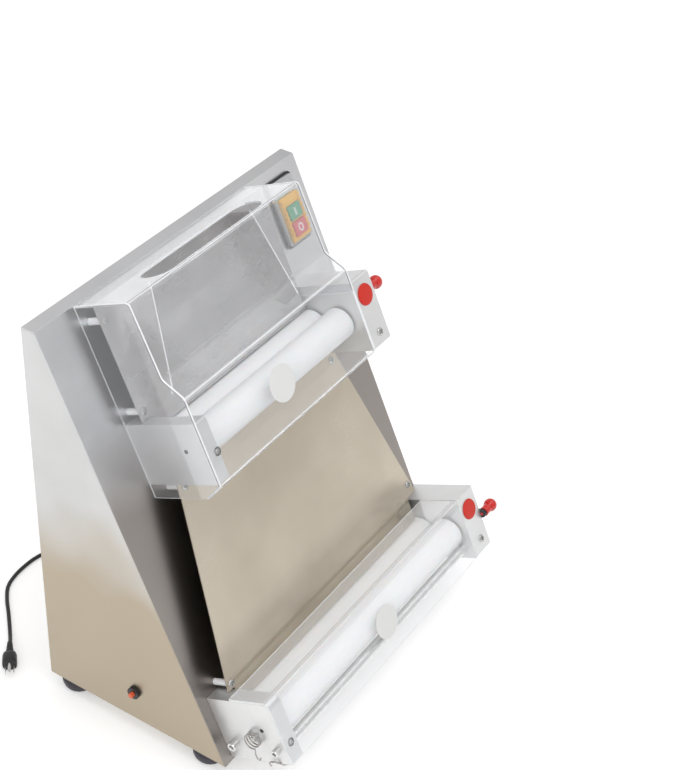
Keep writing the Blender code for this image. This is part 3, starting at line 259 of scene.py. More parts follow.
def screw_tree():
    """Geometry nodes for round screw heads with a cross recess, one on each point of the mesh."""
    made = bpy.data.node_groups.new("cross_recessed_screws", "GeometryNodeTree")
    made.interface.new_socket("Points", in_out="INPUT", socket_type="NodeSocketGeometry")
    for name in ("Head radius", "Head height", "Recess width", "Recess depth"):
        made.interface.new_socket(name, in_out="INPUT", socket_type="NodeSocketFloat")
    made.interface.new_socket("Finish", in_out="INPUT", socket_type="NodeSocketMaterial")
    made.interface.new_socket("Screws", in_out="OUTPUT", socket_type="NodeSocketGeometry")
    node = made.nodes.new
    link = made.links.new
    given = node("NodeGroupInput")
    result = node("NodeGroupOutput")
    dome = node("GeometryNodeMeshUVSphere")
    dome.inputs["Segments"].default_value = 20
    dome.inputs["Rings"].default_value = 12
    dome.inputs["Radius"].default_value = 1
    squat = node("ShaderNodeCombineXYZ")
    link(given.outputs["Head radius"], squat.inputs["X"])
    link(given.outputs["Head radius"], squat.inputs["Y"])
    link(given.outputs["Head height"], squat.inputs["Z"])
    shaped = node("GeometryNodeTransform")
    link(dome.outputs["Mesh"], shaped.inputs["Geometry"])
    link(squat.outputs["Vector"], shaped.inputs["Scale"])
    cutters = []
    for turned in (0, pi / 2):
        size = node("ShaderNodeCombineXYZ")
        length = node("ShaderNodeMath")
        length.operation = "MULTIPLY"
        length.inputs[1].default_value = 1.4
        link(given.outputs["Head radius"], length.inputs[0])
        link(length.outputs[0], size.inputs["X"])
        link(given.outputs["Recess width"], size.inputs["Y"])
        link(given.outputs["Recess depth"], size.inputs["Z"])
        bar = node("GeometryNodeMeshCube")
        link(size.outputs["Vector"], bar.inputs["Size"])
        raised = node("ShaderNodeCombineXYZ")
        link(given.outputs["Head height"], raised.inputs["Z"])
        placed = node("GeometryNodeTransform")
        placed.inputs["Rotation"].default_value = (0, 0, turned)
        link(bar.outputs["Mesh"], placed.inputs["Geometry"])
        link(raised.outputs["Vector"], placed.inputs["Translation"])
        cutters.append(placed.outputs["Geometry"])
    below = node("GeometryNodeMeshCube")
    below.inputs["Size"].default_value = (1, 1, 1)
    sunk = node("GeometryNodeTransform")
    sunk.inputs["Translation"].default_value = (0, 0, -0.5)
    link(below.outputs["Mesh"], sunk.inputs["Geometry"])
    cutters.append(sunk.outputs["Geometry"])
    head = node("GeometryNodeMeshBoolean")
    head.operation = "DIFFERENCE"
    link(shaped.outputs["Geometry"], head.inputs["Mesh 1"])
    for cutter in cutters:
        link(cutter, head.inputs["Mesh 2"])
    facing = node("GeometryNodeInputNamedAttribute")
    facing.data_type = "FLOAT_VECTOR"
    facing.inputs["Name"].default_value = "facing"
    rotation = node("FunctionNodeEulerToRotation")
    link(facing.outputs["Attribute"], rotation.inputs["Euler"])
    heads = node("GeometryNodeInstanceOnPoints")
    link(given.outputs["Points"], heads.inputs["Points"])
    link(head.outputs["Mesh"], heads.inputs["Instance"])
    link(rotation.outputs["Rotation"], heads.inputs["Rotation"])
    real = node("GeometryNodeRealizeInstances")
    link(heads.outputs["Instances"], real.inputs["Geometry"])
    coated = node("GeometryNodeSetMaterial")
    link(real.outputs["Geometry"], coated.inputs["Geometry"])
    link(given.outputs["Finish"], coated.inputs["Material"])
    link(coated.outputs["Geometry"], result.inputs["Screws"])
    return made


cross_recessed_screws = screw_tree()


def plain_piece(name, mesh, body, sharp=35):
    """An object from a finished mesh, riding on its body."""
    mesh.name = name
    mesh.shade_smooth()
    mesh.set_sharp_from_angle(angle=radians(sharp))
    made = bpy.data.objects.new(name, mesh)
    scene.collection.objects.link(made)
    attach(made, body)
    return made


def screws(name, places, radius, material, body="frame"):
    """Screw heads at (place, direction, turn of the recess), made by the nodes and kept as one plain mesh."""
    points = bpy.data.meshes.new(name + "_points")
    points.from_pydata([place for place, _, _ in places], [], [])
    facing = points.attributes.new("facing", "FLOAT_VECTOR", "POINT")
    for i, (_, direction, turn) in enumerate(places):
        turned = Vector(direction).to_track_quat("Z", "Y").to_matrix() @ Matrix.Rotation(turn, 3, "Z")
        facing.data[i].vector = turned.to_euler()
    holder = bpy.data.objects.new(name + "_points", points)
    scene.collection.objects.link(holder)
    nodes = holder.modifiers.new("screws", "NODES")
    nodes.node_group = cross_recessed_screws
    sizes = {"Head radius": radius, "Head height": 0.5 * radius, "Recess width": 0.3 * radius,
             "Recess depth": 0.7 * radius, "Finish": material}
    for item in cross_recessed_screws.interface.items_tree:
        if item.in_out == "INPUT" and item.name in sizes:
            nodes[item.identifier] = sizes[item.name]
    seen = holder.evaluated_get(bpy.context.evaluated_depsgraph_get())
    mesh = bpy.data.meshes.new_from_object(seen)
    bpy.data.objects.remove(holder)
    return plain_piece(name, mesh, body)


SHEET = 0.0015
plate_screws = []
for i, name in enumerate(spacers):
    low, high = slope_box(name)
    if name != "hopper_spacer_top_right":
        place = on_slope((low[0] + high[0]) / 2, (low[1] + high[1]) / 2, high[2] + 0.0003 + SHEET)
        plate_screws.append((place, out, 0.4 + 1.1 * i))
screws("plate_screws", plate_screws, 0.006, zinc)

# --- End housings --------------------------------------------------------------------------------
# Each pair of rollers runs between a solid left block and a hollow right box of satin aluminium, with soft
# corners. Screws in the front faces hold them, and on the outside of each left block a thin dark disc is
# painted shade standing for a small dowel hole.

aluminium, tree, shader = finish("satin_aluminium", (0.74, 0.74, 0.74), 0.85, 0.42)
skin = grain(tree, (1400, 1400, 1400), detail=2)
patches = spread(tree, grain(tree, (14, 14, 14)), 0, 1)
tree.links.new(blend_colours(tree, patches, (0.71, 0.715, 0.72), (0.80, 0.80, 0.795)),
               shader.inputs["Base Color"])
tree.links.new(spread(tree, patches, 0.38, 0.48, 0, 1), shader.inputs["Roughness"])
relief(tree, shader, skin, 0.00002, edges=0.0007)
wear(aluminium, "upper_housing_left", "upper_housing_right", "lower_housing_left", "lower_housing_right")

upper_left_low, upper_left_high = slope_box("upper_housing_left")
upper_right_low, upper_right_high = slope_box("upper_housing_right")
lower_left_low, lower_left_high = slope_box("lower_housing_left")
lower_right_low, lower_right_high = slope_box("lower_housing_right")
face_screws = [
    (on_slope(upper_left_high[0] - 0.0035, upper_left_low[1] + 0.053, upper_left_high[2]), out, 0.2),
    (on_slope(upper_right_low[0] + 0.0265, upper_right_high[1] - 0.018, upper_right_high[2]), out, 0.5),
    (on_slope(lower_left_low[0] + 0.014, lower_left_high[1] - 0.030, lower_left_high[2]), out, 0.9),
    (on_slope(lower_right_low[0] + 0.028, lower_right_high[1] - 0.020, lower_right_high[2]), out, 0.3),
]
screws("housing_screws", face_screws, 0.0065, zinc)

# A thin near-black disc stands for each dowel hole: painted shade of the hole's depth, with no recess cut.
painted_hole_shade, tree, shader = finish("hole_painted_shade", (0.06, 0.06, 0.06), 0.6, 0.5)
tree.links.new(spread(tree, grain(tree, (300, 300, 300)), 0.4, 0.6), shader.inputs["Roughness"])


def lathe(profile, centre, direction, steps=32):
    """A closed turned shape from (radius, height) points, about a direction through the centre."""
    turn = Vector(direction).to_track_quat("Z", "Y").to_matrix()
    shape = bmesh.new()
    rings = []
    for radius, height in profile:
        angles = [2 * pi * k / steps for k in range(steps if radius > 0 else 1)]
        places = [Vector((radius * cos(a), radius * sin(a), height)) for a in angles]
        rings.append([shape.verts.new(Vector(centre) + turn @ place) for place in places])
    for first, second in zip(rings, rings[1:]):
        for k in range(steps):
            corners = [first[k % len(first)], first[(k + 1) % len(first)],
                       second[(k + 1) % len(second)], second[k % len(second)]]
            shape.faces.new(list(dict.fromkeys(corners)))
    bmesh.ops.recalc_face_normals(shape, faces=shape.faces)
    return shape


def shaped_piece(name, shape, material, body, sharp=35):
    """An object from a bmesh, in one finish."""
    mesh = bpy.data.meshes.new(name)
    shape.to_mesh(mesh)
    shape.free()
    mesh.materials.append(material)
    return plain_piece(name, mesh, body, sharp)


def together(*shapes):
    """Several bmeshes as one."""
    whole = bmesh.new()
    for shape in shapes:
        part = bpy.data.meshes.new("part")
        shape.to_mesh(part)
        shape.free()
        whole.from_mesh(part)
        bpy.data.meshes.remove(part)
    return whole


LEFT = Vector((-1, 0, 0))
dowel = [(0, 0.0001), (0.0019, 0.0001), (0.0021, 0.0004), (0.0031, 0.0004), (0.0033, 0)]
holes = [
    lathe(dowel, on_slope(upper_left_low[0], upper_left_high[1] - 0.052, 0.095), LEFT, 20),
    lathe(dowel, on_slope(lower_left_low[0], lower_left_high[1] - 0.056, 0.0845), LEFT, 20),
]
for shape in holes:
    bmesh.ops.holes_fill(shape, edges=[e for e in shape.edges if e.is_boundary])
shaped_piece("dowel_hole_painted_shade", together(*holes), painted_hole_shade, "frame")

# --- Fittings on the lower left block ------------------------------------------------------------
# Two socket-head screws, a small return spring of round wire on its post with one leg hooked down, and a
# bent wire clip under the block's front corner.

bright, tree, shader = finish("bright_steel", (0.72, 0.72, 0.71), 1, 0.2)
tree.links.new(spread(tree, grain(tree, (350, 350, 350)), 0.15, 0.3), shader.inputs["Roughness"])
mottle = spread(tree, grain(tree, (80, 80, 80)), 0, 1)
tree.links.new(blend_colours(tree, mottle, (0.62, 0.62, 0.61), (0.8, 0.8, 0.79)), shader.inputs["Base Color"])

wire_steel, tree, shader = finish("spring_wire", (0.42, 0.40, 0.38), 1, 0.3)
tree.links.new(spread(tree, grain(tree, (350, 350, 350)), 0.22, 0.38), shader.inputs["Roughness"])


def socket_screw(place, radius, height):
    """A cylinder head with a six-sided socket."""
    return lathe([(0, 0), (radius, 0), (radius, height - 0.0008), (radius - 0.0008, height),
                  (0.56 * radius, height), (0.50 * radius, height - 0.0008), (0.50 * radius, 0.4 * height),
                  (0, 0.4 * height)], place, LEFT, 24)


outer_face = lower_left_low[0]
shaped_piece("block_screws", together(
    socket_screw(on_slope(outer_face, 0.671, 0.0225), 0.0072, 0.0125),
    socket_screw(on_slope(outer_face, 0.674, 0.1015), 0.0060, 0.0110),
), bright, "frame")


def wire(name, points, radius, material, body="frame", sides=3):
    """Round wire along points, as a closed mesh."""
    curve = bpy.data.curves.new(name, "CURVE")
    curve.dimensions = "3D"
    curve.bevel_depth = radius
    curve.bevel_resolution = sides
    curve.use_fill_caps = True
    spline = curve.splines.new("POLY")
    spline.points.add(len(points) - 1)
    for point, place in zip(spline.points, points):
        point.co = (*place, 1)
    holder = bpy.data.objects.new(name, curve)
    scene.collection.objects.link(holder)
    mesh = bpy.data.meshes.new_from_object(holder.evaluated_get(bpy.context.evaluated_depsgraph_get()))
    bpy.data.objects.remove(holder)
    mesh.materials.clear()
    mesh.materials.append(material)
    return plain_piece(name, mesh, body, 60)


SPRING_RADIUS = 0.0115
SPRING_DOWN = 0.655
SPRING_AWAY = 0.068
turns = []
for k in range(2 * 24 + 13):
    angle = radians(200) + 2 * pi * k / 24
    reach = outer_face - 0.0014 - 0.0048 * k / 24
    turns.append(on_slope(reach, SPRING_DOWN + SPRING_RADIUS * cos(angle),
                          SPRING_AWAY + SPRING_RADIUS * sin(angle)))
end = turns[-1]
turns += [end - up * 0.010 - out * 0.004, end - up * 0.018 - out * 0.0035, end - up * 0.020 + out * 0.001,
          end - up * 0.016 + out * 0.003]
wire("return_spring", turns, 0.0011, wire_steel)
shaped_piece("spring_post", lathe([(0, 0), (0.0045, 0), (0.0045, 0.007), (0.0038, 0.008), (0, 0.008)],
             on_slope(outer_face, SPRING_DOWN, SPRING_AWAY), LEFT, 28), zinc, "frame")
wire("wire_clip", [on_slope(outer_face - 0.005, 0.7015, 0.080), on_slope(outer_face - 0.006, 0.696, 0.0795),
                   on_slope(outer_face - 0.006, 0.693, 0.083), on_slope(outer_face - 0.004, 0.694, 0.090),
                   on_slope(outer_face + 0.001, 0.7015, 0.098), on_slope(outer_face + 0.007, 0.7025, 0.108)],
     0.0013, wire_steel)

# --- Rollers -------------------------------------------------------------------------------------
# White nylon rolls, turned to a satin finish. Their nylon gears and aluminium pulleys are hidden in the
# right housings, and a bright steel tie rod runs below the lower pair.

roll_nylon, tree, shader = finish("roller_nylon", (0.88, 0.88, 0.89), 0, 0.3)
shader.inputs["Subsurface Weight"].default_value = 0.2
shader.inputs["Subsurface Scale"].default_value = 0.006
marks = grain(tree, (1200, 6, 6), detail=2)
tree.links.new(spread(tree, marks, 0.24, 0.36), shader.inputs["Roughness"])
mottle = spread(tree, grain(tree, (5, 12, 12)), 0, 1)
tree.links.new(blend_colours(tree, mottle, (0.92, 0.92, 0.925), (0.95, 0.95, 0.955)),
               shader.inputs["Base Color"])
relief(tree, shader, marks, 0.00002)
for stage in ("upper", "lower"):
    wear(roll_nylon, stage + "_roller_rear", stage + "_roller_front")
    wear(nylon, stage + "_gear_rear", stage + "_gear_front")
    wear(bright, stage + "_bearing_left", stage + "_bearing_right")
    wear(aluminium, stage + "_roller_pulley")
wear(bright, "tie_rod", "drive_shaft")

# --- Drive inside the cabinet --------------------------------------------------------------------
# A grey enamelled gear motor and two round green polyurethane belts.

enamel, tree, shader = finish("motor_enamel", (0.2, 0.22, 0.24), 0, 0.45)
relief(tree, shader, grain(tree, (250, 250, 250), detail=2), 0.0001)
wear(enamel, "gear_motor")
belt_green, tree, shader = finish("belt_green", (0.02, 0.36, 0.08), 0, 0.4)
tree.links.new(spread(tree, grain(tree, (400, 400, 400)), 0.35, 0.5), shader.inputs["Roughness"])
wear(belt_green, "upper_belt", "lower_belt")

# --- Levers, knobs and caps ----------------------------------------------------------------------
# Black levers set the roller gap. Each carries a glossy red ball that is pulled out to free it, and a low
# red plug closes the hole in the front of each right housing.

red, tree, shader = finish("glossy_red", (0.60, 0.016, 0.010), 0, 0.16)
shader.inputs["Coat Weight"].default_value = 0.25
shader.inputs["Coat Roughness"].default_value = 0.05
tree.links.new(spread(tree, grain(tree, (150, 150, 150)), 0.1, 0.22), shader.inputs["Roughness"])
relief(tree, shader, grain(tree, (120, 120, 120), detail=1), 0.00004)
cap_red, tree, shader = finish("cap_red", (0.62, 0.028, 0.015), 0, 0.42)
shader.inputs["Specular IOR Level"].default_value = 0.3
relief(tree, shader, grain(tree, (900, 900, 900), detail=2), 0.00003, edges=0.0004)
black, tree, shader = finish("moulded_black", (0.02, 0.02, 0.022), 0, 0.42)
relief(tree, shader, grain(tree, (1000, 1000, 1000), detail=2), 0.00004, edges=0.0005)
for stage in ("upper", "lower"):
    wear(red, stage + "_ball_knob")
    wear(cap_red, stage + "_red_cap")
    wear(black, stage + "_gap_lever")

# --- Switch and reset button ---------------------------------------------------------------------
# A yellow panel switch in a black gasket, with a pale clear surround. Its long edges are castellated, and
# the green and red buttons carry a moulded white I and O. The reset button is orange-red in a black collar.

low, high = slope_box("switch_frame")
switch_x = (low[0] + high[0]) / 2
switch_half = (high[0] - low[0]) / 2
green_low, green_high = slope_box("green_button")
red_low, red_high = slope_box("red_button")


def slab(left, right, top, bottom, back, front, corner=0.0, steps=5):
    """A flat block on the slope with rounded corners."""
    outline = []
    for x, y, start in ((right - corner, top + corner, 0), (left + corner, top + corner, 90),
                        (left + corner, bottom - corner, 180), (right - corner, bottom - corner, 270)):
        for k in range(steps + 1 if corner else 1):
            angle = radians(start + 90 * k / steps)
            outline.append((x + corner * cos(angle), y - corner * sin(angle)))
    shape = bmesh.new()
    rings = [[shape.verts.new(on_slope(x, down, away)) for x, down in outline] for away in (back, front)]
    count = len(outline)
    for k in range(count):
        shape.faces.new([rings[0][k], rings[0][(k + 1) % count], rings[1][(k + 1) % count], rings[1][k]])
    shape.faces.new(rings[0])
    shape.faces.new(rings[1])
    bmesh.ops.recalc_face_normals(shape, faces=shape.faces)
    return shape


def hollowed(name, shape, *cutters):
    """The shape with the cutters taken out of it, as a mesh."""
    whole = bpy.data.meshes.new(name)
    shape.to_mesh(whole)
    shape.free()
    made = bpy.data.objects.new(name, whole)
    scene.collection.objects.link(made)
    tools = []
    for cutter in cutters:
        mesh = bpy.data.meshes.new("cutter")
        cutter.to_mesh(mesh)
        cutter.free()
        tool = bpy.data.objects.new("cutter", mesh)
        scene.collection.objects.link(tool)
        step = made.modifiers.new("cut", "BOOLEAN")
        step.object = tool
        step.operation = "DIFFERENCE"
        tools.append(tool)
    result = bpy.data.meshes.new_from_object(made.evaluated_get(bpy.context.evaluated_depsgraph_get()))
    for tool in tools + [made]:
        bpy.data.objects.remove(tool)
    return result


def made_of(mesh, material):
    mesh.materials.clear()
    mesh.materials.append(material)
    return mesh


yellow, tree, shader = finish("switch_yellow", (0.88, 0.47, 0.02), 0, 0.3)
relief(tree, shader, grain(tree, (800, 800, 800), detail=2), 0.00003, edges=0.0005)
milky, tree, shader = finish("milky_surround", (0.86, 0.87, 0.88), 0, 0.22)
shader.inputs["Transmission Weight"].default_value = 0.55
relief(tree, shader, grain(tree, (300, 300, 300), detail=2), 0.00004, edges=0.0006)
button_green, tree, shader = finish("button_green", (0.045, 0.32, 0.16), 0, 0.32)
relief(tree, shader, grain(tree, (700, 700, 700), detail=2), 0.00003, edges=0.0012)
button_red, tree, shader = finish("button_red", (0.66, 0.07, 0.08), 0, 0.32)
relief(tree, shader, grain(tree, (700, 700, 700), detail=2), 0.00003, edges=0.0012)
orange, tree, shader = finish("reset_orange", (0.80, 0.13, 0.045), 0, 0.3)
relief(tree, shader, grain(tree, (500, 500, 500), detail=2), 0.00003, edges=0.0010)
mark_white, tree, shader = finish("mark_white", (0.85, 0.85, 0.84), 0, 0.4)
tree.links.new(spread(tree, grain(tree, (500, 500, 500)), 0.35, 0.45), shader.inputs["Roughness"])
wear(button_green, "green_button")
wear(button_red, "red_button")
wear(orange, "reset_button")
wear(black, "reset_collar", "cord_gland")

left, right = switch_x - switch_half, switch_x + switch_half
gasket = hollowed("switch_gasket", slab(left, right, low[1], high[1], 0.0003, 0.0032, 0.008),
                  slab(left + 0.0035, right - 0.0035, low[1] + 0.0035, high[1] - 0.0035, -0.01, 0.01, 0.005))
plain_piece("switch_gasket", made_of(gasket, black), "frame")
bezel_top = green_low[1] - 0.0155
bezel_bottom = red_high[1] + 0.0065
surround = hollowed(
    "switch_surround",
    slab(left + 0.0037, right - 0.0037, low[1] + 0.0037, high[1] - 0.0037, 0.0003, 0.0075, 0.0048),
    slab(left + 0.0085, right - 0.0085, bezel_top - 0.0007, bezel_bottom + 0.0007, -0.01, 0.02, 0.002))
plain_piece("switch_surround", made_of(surround, milky), "frame")
ROOM = 0.0006
pocket = [slab(first[0] - ROOM, last[0] + ROOM, first[1] - ROOM, last[1] + ROOM, 0.0037, 0.03, 0.001)
          for first, last in ((green_low, green_high), (red_low, red_high))]
bezel = hollowed(
    "switch_bezel",
    slab(left + 0.0092, right - 0.0092, bezel_top, bezel_bottom, 0.0003, 0.0115, 0.0015), *pocket)
bezel = plain_piece("switch_bezel", made_of(bezel, yellow), "frame")
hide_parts("switch_frame")
teeth = []
pitch = 0.0085
count = int((bezel_bottom - bezel_top - 0.004) / pitch)
for k in range(count):
    start = bezel_top + 0.003 + k * pitch
    for near, far in ((left + 0.0096, left + 0.0142), (right - 0.0142, right - 0.0096)):
        teeth.append(slab(near, far, start, start + 0.6 * pitch, 0.0113, 0.0142, 0.0008, 2))
shaped_piece("bezel_teeth", together(*teeth), yellow, "frame")


def raised_mark(name, outlines, thickness, place, body):
    """A flat mark from its outlines on the slope, standing a hair proud of a button."""
    curve = bpy.data.curves.new(name, "CURVE")
    curve.dimensions = "2D"
    curve.fill_mode = "BOTH"
    curve.extrude = thickness / 2
    for outline in outlines:
        spline = curve.splines.new("POLY")
        spline.points.add(len(outline) - 1)
        spline.use_cyclic_u = True
        for point, (x, y) in zip(spline.points, outline):
            point.co = (x, y, 0, 1)
    holder = bpy.data.objects.new(name, curve)
    scene.collection.objects.link(holder)
    mesh = bpy.data.meshes.new_from_object(holder.evaluated_get(bpy.context.evaluated_depsgraph_get()))
    bpy.data.objects.remove(holder)
    mesh.transform(Matrix.Translation(place) @ Matrix((Vector((1, 0, 0)), up, out)).transposed().to_4x4())
    return plain_piece(name, made_of(mesh, mark_white), body)


def ring_outline(width, height, count=28):
    return [(width * cos(2 * pi * k / count), height * sin(2 * pi * k / count)) for k in range(count)]


green_centre = on_slope(switch_x, (green_low[1] + green_high[1]) / 2, green_high[2] + 0.0001)
red_centre = on_slope(switch_x, (red_low[1] + red_high[1]) / 2, red_high[2] + 0.0001)
bar = [(-0.0013, -0.0062), (0.0013, -0.0062), (0.0013, 0.0062), (-0.0013, 0.0062)]
raised_mark("on_mark", [bar], 0.0004, green_centre, "green_button_body")
raised_mark("off_mark", [ring_outline(0.0056, 0.0066), ring_outline(0.0034, 0.0044)], 0.0004, red_centre,
            "red_button_body")

# --- Clear guards --------------------------------------------------------------------------------
# 3 mm polycarbonate, cut and cold-bent: a hood with the feed slot over the upper rollers, and an angle
# over the lower ones. The sawn edges are frosted and catch the light. The hood's bent line and the faces
# turned up the slope carry a painted white highlight. A blank sticker sits on each front.

# How far down the slope the hood's shoulder bends into its front.
BEND_DOWN = 0.1465


def clear_sheet(name, low, high, top, bottom, back, flanged):
    """Clear plastic, faintly hazy all over and whiter on faces turned up the slope, where the white is
    painted sheen, with frosted sawn edges, between low and high across and top and bottom down the slope. A
    flanged sheet is frosted on its side rims and carries a painted highlight at its bent line; a plain one is
    frosted at its ends and behind.
    """
    made, tree, shader = finish(name, (0.985, 0.99, 1.0), 0, 0.03)
    shader.inputs["Transmission Weight"].default_value = 1
    shader.inputs["IOR"].default_value = 1.57
    tree.links.new(spread(tree, grain(tree, (40, 40, 40)), 0.015, 0.06), shader.inputs["Roughness"])
    relief(tree, shader, grain(tree, (5, 5, 5), detail=0), 0.0001)
    frosted = tree.nodes.new("ShaderNodeBsdfPrincipled")
    frosted.inputs["Base Color"].default_value = (0.93, 0.94, 0.96, 1)
    frosted.inputs["Roughness"].default_value = 0.45
    place = tree.nodes.new("ShaderNodeTexCoord")
    facing = tree.nodes.new("ShaderNodeNewGeometry")

    def math(operation, first, second):
        node = tree.nodes.new("ShaderNodeMath")
        node.operation = operation
        for socket, value in zip(node.inputs, (first, second)):
            if isinstance(value, float):
                socket.default_value = value
            else:
                tree.links.new(value, socket)
        return node.outputs[0]

    def along(vector, direction):
        node = tree.nodes.new("ShaderNodeVectorMath")
        node.operation = "DOT_PRODUCT"
        node.inputs[1].default_value = direction
        tree.links.new(vector, node.inputs[0])
        return node.outputs["Value"]

    def faces(direction):
        return math("ABSOLUTE", along(facing.outputs["True Normal"], direction), 0.0)

    point = place.outputs["Object"]
    across = along(point, (1, 0, 0))
    down = math("ADD", along(point, -up), float(edge.dot(up)))
    away = math("ADD", along(point, out), float(-edge.dot(out)))
    if flanged:
        rim = math("LESS_THAN", faces((1, 0, 0)), 0.5)
        at_left = math("MULTIPLY", rim, math("LESS_THAN", across, low + 0.003))
        at_right = math("MULTIPLY", rim, math("GREATER_THAN", across, high - 0.003))
    else:
        side_on = math("GREATER_THAN", faces((1, 0, 0)), 0.9)
        at_left = math("MULTIPLY", side_on, math("LESS_THAN", across, low + 0.0005))
        at_right = math("MULTIPLY", side_on, math("GREATER_THAN", across, high - 0.0005))
        behind = math("MULTIPLY", math("GREATER_THAN", faces(out), 0.9),
                      math("LESS_THAN", away, back + 0.0005))
        at_left = math("MAXIMUM", at_left, behind)
    below = math("MULTIPLY", math("GREATER_THAN", faces(up), 0.9),
                 math("GREATER_THAN", down, bottom - 0.0005))
    cut = math("MAXIMUM", math("MAXIMUM", at_right, at_left), below)
    above = math("MULTIPLY", math("LESS_THAN", down, top + 0.003), math("GREATER_THAN", faces(out), 0.5))
    cut = math("MAXIMUM", cut, math("MULTIPLY", above, 0.8))
    if flanged:
        # The hood's bent line is painted frosted white: a painted highlight, not a sawn edge.
        painted_bend_highlight = math("LESS_THAN", math("ABSOLUTE", math("SUBTRACT", down, BEND_DOWN), 0.0), 0.0011)
        cut = math("MAXIMUM", cut, math("MULTIPLY", math("MULTIPLY", rim, painted_bend_highlight), 0.6))
    mix = tree.nodes.new("ShaderNodeMixShader")
    # A faint white haze everywhere, and a whiter one on faces turned up the slope: painted sheen.
    haze_and_painted_sheen = math("MAXIMUM", math("MULTIPLY", math("GREATER_THAN", faces(up), 0.8), 0.2), 0.05)
    tree.links.new(math("MAXIMUM", math("MULTIPLY", cut, 0.9), haze_and_painted_sheen), mix.inputs[0])
    tree.links.new(shader.outputs[0], mix.inputs[1])
    tree.links.new(frosted.outputs[0], mix.inputs[2])
    path = tree.nodes.new("ShaderNodeLightPath")
    clear = tree.nodes.new("ShaderNodeBsdfTransparent")
    clear.inputs["Color"].default_value = (0.95, 0.955, 0.96, 1)
    lit = tree.nodes.new("ShaderNodeMixShader")
    through = math("MAXIMUM", path.outputs["Is Shadow Ray"], path.outputs["Is Diffuse Ray"])
    tree.links.new(through, lit.inputs[0])
    tree.links.new(mix.outputs[0], lit.inputs[1])
    tree.links.new(clear.outputs[0], lit.inputs[2])
    tree.links.new(lit.outputs[0], tree.nodes["Material Output"].inputs["Surface"])
    return made


upper_front = slope_box("upper_guard")[1][2]
lower_front = slope_box("lower_guard")[1][2]
for guard, flanged in (("upper_guard", True), ("lower_guard", False)):
    low, high = slope_box(guard)
    sheet = clear_sheet(guard + "_sheet", low[0] + edge.x, high[0] + edge.x, low[1], high[1], low[2], flanged)
    wear(sheet, guard)

sticker_grey, tree, shader = finish("blank_sticker", (0.74, 0.74, 0.73), 0, 0.4)
tree.links.new(spread(tree, grain(tree, (200, 200, 200)), 0.35, 0.45), shader.inputs["Roughness"])
for name, across, down, away, radius in (("upper_blank_sticker", -0.038, 0.220, upper_front, 0.0275),
                                         ("lower_blank_sticker", 0.000, 0.650, lower_front, 0.0265)):
    disc = [(0, 0.0004), (radius - 0.0002, 0.0004), (radius, 0.0002), (radius, 0.00003), (0, 0.00003)]
    shape = lathe(disc, on_slope(across, down, away), out, 48)
    shaped_piece(name, shape, sticker_grey, "frame")

# --- Power cord ----------------------------------------------------------------------------------
# A black three-core lead, 6.5 mm thick. It leaves the rear cover through a gland and a tapered sleeve, drops
# to the worktop, is coiled behind the cabinet, and leads round to a moulded three-pin plug.

CORD_RADIUS = 0.00325
LOW = 0.00355
machine = Vector((edge.x, panel_high.y, 0))
COIL = Vector((0.012, 0.120, 0))
PITCH = 0.00665
COIL_START = radians(250)


def coil_point(turned):
    """The coil's line after so many degrees: three turns on the floor inwards, then out again on top."""
    def step(start):
        share = min(max((turned - start) / 60, 0), 1)
        return share * share * (3 - 2 * share)
    radius = 0.036 + PITCH * (2 - step(0) - step(360) - step(720) + step(1380) + step(1740) + step(1950))
    height = LOW
    climb = step(1080)
    if climb > 0:
        radius += PITCH * (1 - step(1080)) - PITCH * cos(climb * pi / 2)
        height += PITCH * sin(climb * pi / 2)
    if turned > 1950:
        height = LOW + PITCH * cos(step(1950) * pi / 2)
        radius += PITCH * (sin(step(1950) * pi / 2) - step(1950))
    angle = COIL_START + radians(turned)
    return COIL + Vector((radius * cos(angle), radius * sin(angle), height))


def smooth_route(points, spacing):
    """Even points along a Catmull-Rom curve through the route."""
    padded = [points[0]] + points + [points[-1]]
    fine = []
    for p0, p1, p2, p3 in zip(padded, padded[1:], padded[2:], padded[3:]):
        for k in range(16):
            t = k / 16
            fine.append((2 * p1 + (p2 - p0) * t + (2 * p0 - 5 * p1 + 4 * p2 - p3) * t * t
                         + (3 * p1 - p0 - 3 * p2 + p3) * t ** 3) / 2)
    fine.append(points[-1])
    result = [fine[0]]
    walked = 0
    for before, here in zip(fine, fine[1:]):
        walked += (here - before).length
        if walked >= spacing:
            result.append(here)
            walked = 0
    result[-1] = fine[-1]
    return result


GLAND = Vector((-0.060, 0.0183, 0.088))
from_gland = [GLAND, Vector((-0.060, 0.034, 0.086)), Vector((-0.058, 0.054, 0.066)),
              Vector((-0.052, 0.068, 0.038)), Vector((-0.040, 0.077, LOW + 0.011)),
              Vector((-0.024, 0.078, LOW + 0.001)), coil_point(0)]
to_plug = [coil_point(2010), Vector((-0.026, 0.166, LOW)), Vector((-0.058, 0.191, LOW)),
           Vector((-0.096, 0.204, LOW)), Vector((-0.128, 0.206, LOW)), Vector((-0.155, 0.203, LOW)),
           Vector((-0.178, 0.195, LOW)),
           Vector((-0.201, 0.176, LOW)), Vector((-0.222, 0.154, LOW)), Vector((-0.243, 0.133, LOW)),
           Vector((-0.263, 0.1135, LOW + 0.002)), Vector((-0.279, 0.0995, 0.0113))]
coil = [coil_point(turned) for turned in range(12, 2010, 12)]
line = [machine + place for place in smooth_route(from_gland, 0.006) + coil + smooth_route(to_plug, 0.010)]

pvc, tree, shader = finish("cord_pvc", (0.016, 0.016, 0.018), 0, 0.42)
relief(tree, shader, grain(tree, (1200, 1200, 1200), detail=2), 0.00004)
tree.links.new(spread(tree, grain(tree, (90, 90, 90)), 0.36, 0.5), shader.inputs["Roughness"])

